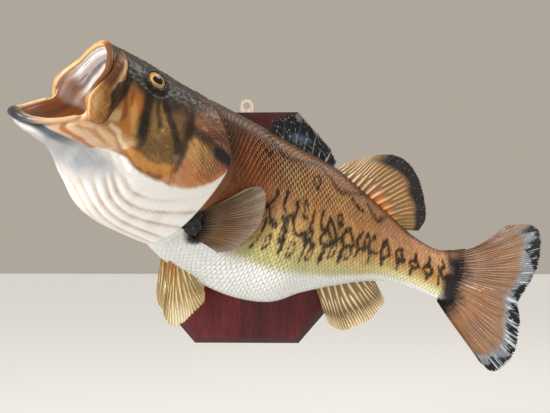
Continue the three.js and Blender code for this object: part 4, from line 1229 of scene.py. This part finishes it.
def ray_height(fin, u, v):
    """0 between rays, 1 on them: a cosine across the fin, doubled where each ray forks and doubled again
    near the edge. Spines don't fork."""
    u = u + 0.16 / fin["rays"] * np.sin(2 * np.pi * (1.3 * u + 0.2)) * np.sin(5 * v + 7 * u)
    wave = lambda count, sharp=2.2: (0.5 + 0.5 * np.cos(2 * np.pi * count * u)) ** sharp
    rays = fin["rays"]
    if fin.get("spines"):
        return wave(rays, 5)
    once = mix(wave(rays), wave(2 * rays), ramp(v, 0.3, 0.5))
    return mix(once, wave(4 * rays), ramp(v, 0.62, 0.82))


def fin_middle(fin, u, v):
    """Middle sheet of a fin: a fan from the root line to the tip line, bowed sideways in its middle."""
    a = curve(fin["root"], u * (len(fin["root"]) - 1))
    b = curve(fin["tip"], u * (len(fin["tip"]) - 1))
    bow = fin.get("cup", 0) * np.sin(np.pi * v) * np.sin(np.pi * u)
    sag = fin.get("waist", 0) * np.sin(np.pi * v) * (1 - u) ** 2
    p = mix(a, b, v[..., None])
    flutter = 0.5 * np.sin(2 * np.pi * fin["rays"] * u / 2 + 1) * ramp(v, 0.3, 1.0)
    return pose(np.stack([p[..., 0], MID_Y - p[..., 1] - bow - flutter, p[..., 2] - sag], -1))


def fin_sheets(fin):
    """The two faces of a fin: its middle sheet, plus or minus half the thickness, which is thin skin
    between raised rays. The edge is cut back between rays and torn unevenly."""
    columns, tears = COLUMNS_PER_RAY * fin["rays"] + 1, 4 * fin["rays"] + 1
    v, u = np.meshgrid(np.linspace(0, 1, FIN_ROWS), np.linspace(0, 1, columns), indexing="ij")
    ray = ray_height(fin, u, v)
    rng = np.random.default_rng(fin["rays"] + len(fin["tip"]))
    tear = np.interp(u, np.linspace(0, 1, tears), rng.uniform(0.15, 1, tears))
    gap = 1 - ray_height(fin, u, np.ones_like(v))
    reach = v * (1 - fin["ragged"] * gap * tear)
    point = lambda a, b: fin_middle(fin, a, b)
    middle = point(u, reach)
    normal = unit(np.cross(point(u + 0.01, reach) - middle, point(u, reach + 0.01) - middle))
    half = 0.5 * mix(fin["root_thick"], fin["tip_thick"], v**0.7)
    segments = 1 - 0.06 * (np.cos(2 * np.pi * 34 * v) > 0.75) * ramp(v, 0.25, 0.4)
    half = half * (0.42 + 0.58 * ray * segments)
    return middle + normal * half[..., None], middle - normal * half[..., None], u, v, ray


def fin_paint(name, u, v, ray, p):
    """Colours of a fin by how far out (v), where across (u) and on or between the rays."""
    cloud, fine, glint = wave_noise(p, 16, 91), wave_noise(p, 3.5, 92), wave_noise(p, 2.0, 93)
    rng = np.random.default_rng(len(name))
    ray = ray * np.interp(u, np.linspace(0, 1, 40), rng.uniform(0.55, 1.15, 40)).clip(0, 1)
    if name == "caudal_fin":
        streak = wave_noise(np.stack([u * 80, v * 5], -1), 2.0, 94)
        # painted glints: silvery highlights streaked along the rays in the middle of the fin
        painted_glint = ramp(streak + 0.3 * glint, 0.45, 0.9) * bump(v, 0.2, 0.5, 0.85) * ray
        side = ramp(u + 0.02 * cloud, 0.04, 0.12)
        patch = 0.05 * cloud + 0.05 * fine + 0.05 * np.sin(u * 31 + 2 * cloud)
        patch = patch + 0.04 * (1 - ramp(u, 0.0, 0.3))
        margin = ramp(v + patch, 0.89, 0.94) + (1 - ray) * ramp(v, 0.8, 0.88) * 0.5
        dash = wave_noise(np.stack([u * 190, v * 9], -1), 2.0, 95)
        root = 1 - ramp(v + 0.06 * cloud + 0.05 * fine - 0.05 * ramp(u, 0.3, 0.7), 0.08, 0.3)
        return coats(fill("6c5140", u.shape), [
            ("ad886b", ray * 0.85),
            ("9a6a42", ramp(cloud + 2 * u - 1.0, -0.5, 0.9) * bump(v, 0.1, 0.45, 0.85) * 0.6),
            ("4e3222", ramp(-np.sin(u * 120 + 3 * cloud), 0.4, 1.0) * 0.35),
            ("5d3c28", ramp(np.abs(u - 0.97), 0.08, 0.0) * 0.6 + (1 - ramp(u, 0.0, 0.06)) * 0.6),
            ("e9e6e2", painted_glint * bump(u, 0.3, 0.6, 1.0) * 0.9),
            ("8d9aa6", ramp(v + 0.03 * cloud, 0.78, 0.88) * (0.5 + 0.5 * ray) * side),
            ("e3eaee", ramp(glint, 0.2, 0.8) * bump(v, 0.8, 0.9, 1.0) * ray * side * 0.8),
            ("101216", margin * side),
            ("cfd8de", ramp(dash, 0.35, 0.8) * ramp(v, 0.82, 0.88) * side * 0.6),
            ("0e0d0f", root * (0.7 + 0.3 * ramp(u, 0.05, 0.35)) * 0.98),
        ])
    if name == "soft_dorsal_fin":
        return coats(fill("6f5839", u.shape), [
            ("c98f5a", ramp(ray, 0.4, 0.9) * 0.9),
            ("ecd2ae", (1 - ramp(u, 0.1, 0.4)) * ray * 0.7),
            ("c9732a", (1 - ramp(v, 0.12, 0.4)) * ramp(u, 0.35, 0.6) * 0.8),
            ("43170f", (1 - ramp(v, 0.06, 0.26)) * ramp(u, 0.4, 0.7) * 0.92),
            ("0f1217", ramp(v + 0.05 * cloud, 0.7, 0.84) * ramp(u, 0.14, 0.34) * 0.96),
            ("56677a", ramp(glint, 0.5, 1.0) * ramp(v, 0.8, 0.9) * 0.6),
        ])
    if name == "spiny_dorsal_fin":
        # painted sheen and glints on the black fin: a bluish-grey sheen, bright flecks and light crests on
        # the crinkles
        crinkle = np.sin(v * 26 + u * 22 + 4 * cloud)
        return coats(fill("0d0d10", u.shape), [
            ("1d1e22", ray * 0.7),
            ("4d5a6b", ramp(cloud, 0.3, 1.0) * bump(v, 0.2, 0.5, 0.8) * 0.7),
            ("b9babc", ramp(glint + 0.3 * fine, 1.0, 1.3) * 0.8),
            ("888b92", ramp(crinkle, 0.9, 1.0) * ramp(fine, -0.4, 0.6) * 0.75),
            ("8a6247", ramp(fine, 0.6, 1.2) * (1 - ramp(v, 0.1, 0.3)) * 0.7),
        ])
    if name == "anal_fin":
        return coats(fill("8a7146", u.shape), [
            ("eddfbf", ramp(ray, 0.2, 0.8) * 0.95),
            ("b98350", (1 - ramp(v, 0.0, 0.2)) * 0.6),
            ("5b4526", bump(v + 0.06 * cloud, 0.42, 0.72, 1.0) * (0.9 - 0.35 * ray)),
            ("d9ccaa", ramp(v, 0.92, 1.0) * ray * 0.8),
        ])
    if name.startswith("pelvic"):
        return coats(fill("a58c58", u.shape), [
            ("eadbb0", ramp(ray, 0.2, 0.9) * 0.85),
            ("c27f3d", (1 - ramp(v, 0.1, 0.5)) * (1 - ramp(u, 0.25, 0.6)) * 0.8),
            ("8a6c3c", ramp(cloud, 0.0, 1.0) * ramp(v, 0.3, 0.7) * 0.5),
            ("7d6a45", (1 - ray) * ramp(np.sin(v * 60 + 3 * fine), 0.3, 1) * ramp(v, 0.4, 0.7) * 0.4),
            ("f1e8ca", bump(u, 0.2, 0.45, 0.7) * ramp(v, 0.55, 0.9) * 0.5),
        ])
    streak = np.sin(u * 150 + 2 * cloud)
    return coats(fill("5a4433", u.shape), [
        ("9a7c60", ray * 0.75),
        ("33231a", ramp(-streak, 0.1, 0.9) * 0.55),
        ("7d5a35", ramp(cloud, -0.2, 1.0) * (1 - ramp(v, 0.5, 0.9)) * 0.5),
        ("958474", ramp(v, 0.62, 1.0) * 0.45),
        ("120f0e", 1 - ramp(v + 0.1 * ray, 0.14, 0.42 + 0.05 * cloud)),
    ])


class BASS_OT_fins(bpy.types.Operator):
    """Eight fins with forked rays, thin skin between them and worn edges"""

    bl_idname = "bass.fins"
    bl_label = "Fins"

    def execute(self, context):
        for name, fin in FINS.items():
            front, back, u, v, ray = fin_sheets(fin)
            paint = np.tile(fin_paint(name, u, v, ray, front).reshape(-1, 3), (2, 1))
            add_piece(name, slab(front, back), paint, "painted_fin", fin["slot"], name)
        return {"FINISHED"}


# Half sizes of the flesh at a fin's root: along the root, toward the fin, and off the body.
FIN_BASE = [16.0, 13.0, 7.0]
FIN_BASE_AHEAD = 2.0
BASE_RINGS, BASE_SIDES = 40, 56


class BASS_OT_fin_bases(bpy.types.Operator):
    """Black scaly flesh at the root of each pectoral fin"""

    bl_idname = "bass.fin_bases"
    bl_label = "Fin Bases"

    def execute(self, context):
        for side in SIDES:
            fin = FINS[f"pectoral_fin_{side}"]
            at = lambda u, v: fin_middle(fin, np.array(u), np.array(v))
            middle, along = at(0.34, 0.02), unit(at(1.0, 0.0) - at(0.0, 0.0))
            ahead = at(0.5, 0.12) - middle
            ahead = unit(ahead - along * (ahead @ along))
            axes = np.stack([along, ahead, np.cross(along, ahead)])
            centre = middle + ahead * FIN_BASE_AHEAD
            t, turn = np.meshgrid(np.linspace(0, np.pi, BASE_RINGS + 2)[1:-1],
                                  np.arange(BASE_SIDES) * 2 * np.pi / BASE_SIDES, indexing="ij")
            ball = np.stack([np.cos(t), np.sin(t) * np.cos(turn), np.sin(t) * np.sin(turn)], -1)
            smooth = centre + ball * FIN_BASE @ axes
            bumps = wave_noise(smooth, 3.2, 95)
            lumps = 1.1 * bumps + 0.9 * np.abs(wave_noise(smooth, 5.0, 97))
            rings = smooth + unit(ball @ axes) * lumps[..., None]
            colour = coats(fill("0f0f11", t.shape), [
                ("5f666c", ramp(bumps, 0.5, 1.1) * 0.7),
                ("6b4a30", ramp(wave_noise(rings, 9, 96), 0.6, 1.2) * 0.4),
            ])
            tip = along * FIN_BASE[0]
            add_piece(f"fin_base_{side}", capped(rings, centre + tip, centre - tip), with_poles(colour),
                      "painted_skin", "skin_dark")
        return {"FINISHED"}


# ---- scales ----
# One scale: x along the fish from its buried root to its rear edge and y across, in pitches of the
# coat. Its points are the outline, the outline again for the underside, then the heart and its middle.
SCALE_EDGE = np.array([
    [-0.6, 0.34], [0.0, 0.58], [0.56, 0.48], [0.9, 0.2], [0.9, -0.2], [0.56, -0.48], [0.0, -0.58],
    [-0.6, -0.34]])
SCALE_HEART = np.array([
    [0.08, 0.1], [0.34, 0.3], [0.58, 0.36], [0.58, -0.36], [0.34, -0.3], [0.08, -0.1], [0.36, 0.0]])
SCALE_FORM = np.concatenate([SCALE_EDGE, SCALE_EDGE, SCALE_HEART])
OUTLINE = len(SCALE_EDGE)
# Faces of the rim between the outline and the heart.
RIM_FACES = np.array([
    [0, 1, 16], [1, 17, 16], [1, 2, 17], [2, 18, 17], [2, 3, 18], [3, 4, 18], [4, 19, 18], [4, 5, 19],
    [5, 6, 19], [6, 20, 19], [6, 21, 20], [6, 7, 21], [7, 0, 21], [0, 16, 21]])
# Height off the skin, in mm at LIFT_PITCH: rising to the rear, less on the underside, more on the heart.
LIFT_PITCH = 4.3
SCALE_LIFT = mix(-0.5, 0.62, ramp(SCALE_FORM[:, 0], -0.75, 0.95) ** 0.9)
SCALE_LIFT[OUTLINE:2 * OUTLINE] -= 0.28
SCALE_LIFT[2 * OUTLINE:] += 0.06
# The underside's outline is smaller on the bake map, which gives each scale a patch of BAKE_SPAN.
BAKE_FORM = np.concatenate([SCALE_EDGE, SCALE_EDGE * 0.8, SCALE_HEART]) * [1, 1.6]
BAKE_SPAN = 0.0015
LATERAL_ANGLE = 66
LINE_GAP = 0.8
SCALE_LINES = (-48, 60)
# Size of the scales by station, against the pitch.
SIZE_STATIONS, SIZES = [3.8, 5, 6.5, 11, 13.5], [0.8, 0.95, 1.0, 0.88, 0.7]
# Scales of the face, by plate: pitch in mm, front, top and low limits across the plate, and contrast of their
# painted shade and highlight.
FACE_SCALES = {"cheek": (2.8, 0.3, 0.34, 0.68, 0.3), "gill_cover": (3.4, 0.1, 0.3, 0.94, 0.65)}
EYE_CLEAR = 19


def scale_outlines(rng, count, turn, breadth):
    """x and y of the points of every scale, each turned and widened a little at random."""
    x = SCALE_FORM[:, 0] + rng.normal(0, turn, count)[:, None] * SCALE_FORM[:, 1]
    return x, SCALE_FORM[:, 1] * rng.uniform(*breadth, count)[:, None]


def skin_at(row, column):
    """Skin points, normals and stations between grid rows and columns."""
    skin = skin_grid()
    grid = np.concatenate([skin["p"], skin["n"], skin["q"][..., None]], -1)
    found = blended(grid, np.clip(row, 0, len(grid) - 1.001), column)
    return found[..., :3], unit(found[..., 3:6]), found[..., 6]


def plate_at(kind, side, u, v):
    """Points, outward normals, stations and angles of a plate at any u and v."""
    outer, q, a = CACHE[kind, side]
    rows, columns = q.shape
    normal = unit(np.cross(np.gradient(outer, axis=1), np.gradient(outer, axis=0)))
    out = on_skin(HEAD, q, a, 1.0) - on_skin(HEAD, q, a)
    normal = normal * np.sign((normal * out).sum())
    y, x = np.clip(v * (rows - 1), 0, rows - 1.001), np.clip(u * (columns - 1), 0, columns - 1.001)
    found = blended(np.concatenate([outer, normal, q[..., None], a[..., None]], -1), y, x)
    return found[..., :3], unit(found[..., 3:6]), found[..., 6], found[..., 7]


def coat_lattice(pitch, side):
    """Roots of the scales of one side as grid rows and columns: lines of equal distance from the lateral
    line, roots a pitch apart on each, every other line set back by half a pitch."""
    skin = skin_grid()
    first = int(np.argmax(skin["q"][:, 0] >= NAPE_START))
    p, q = skin["p"][first:], skin["q"][first:, 0]
    columns = p.shape[1]
    half = columns // 2
    order = np.arange(half + 1) if side == "left" else (columns - np.arange(half + 1)) % columns
    strip = p[:, order]
    line = int(half * LATERAL_ANGLE / 180)
    across = np.linalg.norm(np.diff(strip, axis=1), axis=-1)
    girth = np.concatenate([np.zeros((len(strip), 1)), np.cumsum(across, 1)], 1)
    girth = girth - girth[:, line:line + 1]
    along = np.concatenate([[0], np.cumsum(np.linalg.norm(np.diff(strip[:, line], axis=0), axis=-1))])
    size = np.interp(q, SIZE_STATIONS, SIZES)
    travel = np.concatenate([[0], np.cumsum(np.diff(along) / (0.5 * (size[1:] + size[:-1])))])
    count = int(travel[-1] / pitch)
    i, k = np.meshgrid(np.arange(count), np.arange(*SCALE_LINES), indexing="ij")
    i, k = i.ravel(), k.ravel()
    row = np.interp((i + 0.5 * (k % 2)) * pitch, travel, np.arange(len(travel)))
    here = np.interp(row, np.arange(len(size)), size)
    return first, row, k * pitch * LINE_GAP * here, here * pitch, girth


def columns_for(girth, row, distance):
    """Grid column at a distance round the ring from the lateral line; the columns' distances rise, so
    their number below the wanted one gives the place."""
    i = np.clip(np.floor(row).astype(int), 0, len(girth) - 2)
    f = np.clip(row - i, 0, 1)
    low = np.empty(row.shape)
    for part in np.array_split(np.arange(row.size), max(1, row.size // 20000)):
        table = mix(girth[i.flat[part]], girth[i.flat[part] + 1], f.flat[part][:, None])
        d = distance.flat[part]
        j = np.clip((table < d[:, None]).sum(1) - 1, 0, table.shape[1] - 2)
        n = np.arange(len(part))
        low.flat[part] = j + (d - table[n, j]) / np.maximum(table[n, j + 1] - table[n, j], 1e-6)
    return low


class BASS_OT_scales(bpy.types.Operator):
    """Overlapping scales over trunk, tail, nape and face, each a closed shell rooted under the one before"""

    bl_idname = "bass.scales"
    bl_label = "Scales"

    def execute(self, context):
        for side in SIDES:
            self.cover(side)
            self.cover_plates(side)
        return {"FINISHED"}

    def cover(self, side):
        """Scales of one side of the trunk, tail and nape."""
        skin = skin_grid()
        columns = skin["p"].shape[1]
        on_side = lambda column: column if side == "left" else columns - column
        first, row, distance, size, girth = coat_lattice(looks().scale_pitch, side)
        column = columns_for(girth, row, distance)
        f = column * 360 / columns
        p, _, q = skin_at(row + first, on_side(column))
        keep = (column > -0.4) & (column < columns // 2 + 0.4) & (q < 13.75) & (p[:, 1] < SEAT_Y - 0.5)
        keep &= coat_area(np.where(q > 4.96, 5.0, q), f) > 0.5
        keep &= (row + first > skin["flap_end"] + 1) | (q < 4.96)
        row, distance, size, f = row[keep], distance[keep], size[keep], f[keep]
        rng = np.random.default_rng(7 if side == "left" else 8)
        x, y = scale_outlines(rng, len(row), 0.05, (0.94, 1.08))
        gap = np.linalg.norm(np.diff(skin["p"][first:].mean(1), axis=0), axis=-1)
        step = np.interp(row, np.arange(len(gap)), gap)
        rows_at = row[:, None] + x * size[:, None] / step[:, None]
        col = columns_for(girth, rows_at, distance[:, None] + y * size[:, None] * LINE_GAP * 2)
        base, normal, q = skin_at(rows_at + first, on_side(col))
        tall = size / LIFT_PITCH * mix(1, 0.62, ramp(f, 105, 150))
        height = SCALE_LIFT * tall[:, None] * rng.uniform(0.85, 1.15, len(row))[:, None]
        points = base + normal * height[..., None]
        points[..., 1] = np.minimum(points[..., 1], SEAT_Y + 0.15)
        colour = fish_paint(q, side_angle(col * 360 / columns, side), base)
        middle = q[:, -1]
        lower = 102 + 12 * (1 - ramp(middle, 5.5, 7.5))
        # how strongly each scale takes the painted shade and painted highlight, by place on the flank
        painted_light_strength = ramp(f, 12, 36) * (1 - ramp(f, 60, lower)) * bump(middle, 4.4, 6.2, 13.9) ** 0.6
        self.build(f"scales_{side}", side, points, colour, row + first, f, x, painted_light_strength, np.ones(len(f)), rng)

    def cover_plates(self, side):
        """Small scales on cheek and gill cover, rooted on lines across each plate."""
        parts = []
        rng = np.random.default_rng(9 if side == "left" else 10)
        for kind, (pitch, front, top, low, painted_light_strength) in FACE_SCALES.items():
            outer = CACHE[kind, side][0]
            wide = np.linalg.norm(np.diff(outer, axis=1), axis=-1).sum(1)
            long = np.linalg.norm(np.diff(outer, axis=0), axis=-1).sum(0).mean()
            k, i = np.meshgrid(np.arange(int(long / pitch / LINE_GAP)), np.arange(40), indexing="ij")
            v = (k + 0.5) * pitch * LINE_GAP / long
            here = np.interp(v, np.linspace(0, 1, len(wide)), wide)
            u = (i + 0.5 * (k % 2) + 0.3) * pitch / here
            keep = (u > front) & (u < 0.93) & (v > top) & (v < low)
            u, v, here = u[keep], v[keep], here[keep]
            base, _, root_q, root_a = plate_at(kind, side, u, v)
            keep = eye_distance(base, side) > EYE_CLEAR
            u, v, here, root_q, root_a = u[keep], v[keep], here[keep], root_q[keep], root_a[keep]
            fade = ramp(v, top, top + 0.14) * (1 - ramp(v, low - 0.12, low + 0.03))
            fade = fade * ramp(u, front, front + 0.2)
            x, y = scale_outlines(rng, len(u), 0.08, (0.9, 1.1))
            base, normal, q, a = plate_at(kind, side, u[:, None] + x * pitch / here[:, None],
                                          v[:, None] + y * pitch * LINE_GAP * 2 / long)
            tall = mix(0.35, rng.uniform(0.6, 1.1, len(u)), fade)
            points = base + normal * (SCALE_LIFT * pitch / LIFT_PITCH * tall[:, None])[..., None]
            row = MOUTH_ROWS + LIP_ROWS - 2 + (root_q - 0.12) / 4.88 * (HEAD_ROWS - 1)
            parts.append((points, fish_paint(q, a, base), row, folded(root_a), x, painted_light_strength * fade, fade))
        points, colour, row, f, x, painted_light_strength, fade = [np.concatenate(group) for group in zip(*parts)]
        self.build(f"scales_face_{side}", side, points, colour, row, f, x, painted_light_strength, fade, rng)

    def build(self, name, side, points, colour, row, f, x, painted_light_strength, fade, rng):
        """One piece of all the scales given, each shaded from its own paint with painted light: painted shade
        on a dark heart and a darker root, and a painted highlight on a bright pinkish rim where that light is
        strong, and plain on the belly. Each has its own patch of the bake map."""
        count, per = points.shape[:2]
        k, h = np.arange(OUTLINE), np.arange(2 * OUTLINE, per - 1)
        m = (k + 1) % OUTLINE
        core = np.stack([h, np.roll(h, -1), np.full(len(h), per - 1)], -1)
        wall = np.stack([k, k + OUTLINE, m + OUTLINE, m], -1)
        floor = np.stack([np.full(OUTLINE - 2, OUTLINE), OUTLINE + k[2:], OUTLINE + k[1:-1]], -1)
        shift = (np.arange(count) * per)[:, None, None]
        faces = [(part + shift).reshape(-1, part.shape[1]) for part in (RIM_FACES, core, wall, floor)]
        belly = ramp(f, 112, 128)[:, None]
        painted_light_strength = painted_light_strength[:, None]
        # painted light: heart and root darkened as painted shade under the neighbours' edges, rear rim
        # brightened as a painted highlight
        painted_shade_and_highlight = mix(mix(0.7, 1.14, ramp(x, -0.2, 0.75)), mix(0.6, 2.7, ramp(x, 0.36, 0.8)), painted_light_strength)
        painted_shade_and_highlight[:, 2 * OUTLINE:] = mix(0.84, 0.05, painted_light_strength)
        # tint of the painted highlight, to keep it pinkish rather than yellow
        highlight_tint = (ramp(painted_shade_and_highlight, 1.1, 2.3) * (1 - belly))[..., None]
        shade = mix(painted_shade_and_highlight, mix(0.9, 1.02, ramp(x, 0.0, 0.8)), belly)
        shade = shade * mix(rng.uniform(0.8, 1.16, count)[:, None], 1.0, belly * 0.85)
        shade = mix(1.0, shade, fade[:, None])
        warm = mix(np.array([1.06, 1.0, 0.9]), 1.0, belly[..., None])
        warm = warm * mix(1.0, np.array([1.0, 0.82, 1.12]), highlight_tint)
        paint = np.clip(colour * shade[..., None] * warm, 0, 1)
        u = (row + 1) / (len(skin_grid()["q"]) + 1)
        spot = np.stack([u, np.mod(side_angle(f, side), 360) / 360], -1)[:, None]
        spot = np.clip(spot + BAKE_FORM * BAKE_SPAN, 0, 1).reshape(-1, 2)
        add_piece(name, (points.reshape(-1, 3), faces), paint, "painted_scale", "skin_brown",
                  uv=[spot[part] for part in faces])


class BASS_OT_board(bpy.types.Operator):
    """The stained board, hanger tab and screws keep their solids and take their finishes"""

    bl_idname = "bass.board"
    bl_label = "Board and Hanger"

    def execute(self, context):
        for node in ("board", "hanger", "screw_1", "screw_2"):
            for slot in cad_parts[node].material_slots:
                slot.material = finish_for("stained_board" if node == "board" else "hanger_steel")
        return {"FINISHED"}


# ---- stage ----
# Floor in mm: half its width, front and rear edges, and thickness.
FLOOR_HALF, FLOOR_FRONT, FLOOR_REAR, FLOOR_THICK = 9000, -4000, 10400, 20
# Kind, energy, place, aim and other settings of each light.
LIGHT_AIM = (0.03, -0.06, 0.03)
WHITE = {"size": 0.9, "color": (1.0, 0.98, 0.95)}
LIGHTS = {
    "studio_sun": ("SUN", 3.2, (-0.8, -0.85, 0.9), (0, 0, 0), {"angle": math.radians(18)}),
    "key_light": ("AREA", 22, (-1.3, -1.6, 0.7), LIGHT_AIM, WHITE),
    "rim_light": ("AREA", 12, (0.9, 0.1, 1.6), LIGHT_AIM, WHITE),
}
SKY = ("bbb3a6", 0.86)
CAMERA_AIM = (0.036, -0.064, 0.022)
CAMERA_AZIMUTH = 2.0
CAMERA_ELEVATION = -3.0
CAMERA_DISTANCE = 0.99
SENSOR_WIDTH = 36
FOCAL_PIXELS = 857
IMAGE_WIDTH = 550


class BASS_OT_stage(bpy.types.Operator):
    """Pale floor, soft studio light and the camera"""

    bl_idname = "bass.stage"
    bl_label = "Stage"

    def execute(self, context):
        scene = context.scene
        drop = -looks().floor_drop / MM
        grid = lambda z: np.array([[[x, y, z] for x in (-FLOOR_HALF, FLOOR_HALF)]
                                   for y in (FLOOR_FRONT, FLOOR_REAR)])
        paint = plain_finish("floor_paint", looks().floor_colour, 0.6)
        make_object("floor", *slab(grid(drop), grid(drop - FLOOR_THICK)), paint, False)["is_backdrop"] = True
        for name, (kind, energy, spot, aim, settings) in LIGHTS.items():
            light = bpy.data.lights.new(name, kind)
            light.energy = energy
            for key, value in settings.items():
                setattr(light, key, value)
            add_facing(name, light, spot, Vector(aim) - Vector(spot))
        scene.world = bpy.data.worlds.new("studio")
        scene.world.use_nodes = True
        background = scene.world.node_tree.nodes["Background"]
        background.inputs["Color"].default_value = (*tone(SKY[0]), 1)
        background.inputs["Strength"].default_value = SKY[1]
        scene.view_settings.view_transform = "Standard"
        camera = bpy.data.cameras.new("camera")
        camera.sensor_width = SENSOR_WIDTH
        camera.lens = FOCAL_PIXELS * SENSOR_WIDTH / IMAGE_WIDTH
        a, e = math.radians(CAMERA_AZIMUTH), math.radians(CAMERA_ELEVATION)
        back = Vector((math.sin(a) * math.cos(e), -math.cos(a) * math.cos(e), math.sin(e)))
        scene.camera = add_facing("camera", camera, Vector(CAMERA_AIM) + back * CAMERA_DISTANCE, -back)
        return {"FINISHED"}


def add_facing(name, data, spot, direction):
    """A light or a camera at a spot, turned to face in a direction."""
    thing = bpy.data.objects.new(name, data)
    thing.location = spot
    thing.rotation_mode = "QUATERNION"
    thing.rotation_quaternion = direction.to_track_quat("-Z", "Y")
    bpy.context.scene.collection.objects.link(thing)
    return thing


# ---- add-on ----
PIECES = (BASS_OT_skin, BASS_OT_plates, BASS_OT_lips, BASS_OT_eyes, BASS_OT_fins, BASS_OT_fin_bases,
          BASS_OT_scales, BASS_OT_board, BASS_OT_stage)


class BASS_PT_panel(bpy.types.Panel):
    """Buttons and settings in the 3D view's sidebar"""

    bl_label = "Mounted Bass"
    bl_idname = "BASS_PT_panel"
    bl_space_type = "VIEW_3D"
    bl_region_type = "UI"
    bl_category = "Mounted Bass"

    def draw(self, context):
        for name in BassLooks.__annotations__:
            self.layout.prop(context.scene.bass_looks, name)
        for piece in PIECES:
            self.layout.operator(piece.bl_idname)


CLASSES = (BassLooks, *PIECES, BASS_PT_panel)


def register():
    for cls in CLASSES:
        bpy.utils.register_class(cls)
    bpy.types.Scene.bass_looks = bpy.props.PointerProperty(type=BassLooks)


def unregister():
    del bpy.types.Scene.bass_looks
    for cls in reversed(CLASSES):
        bpy.utils.unregister_class(cls)


def main():
    register()
    for piece in PIECES:
        getattr(bpy.ops.bass, piece.bl_idname.split(".")[1])()
    sizes = {"cad": CAD_BOX, "visual": [list(corner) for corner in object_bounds()]}


if __name__ == "__main__":
    main()
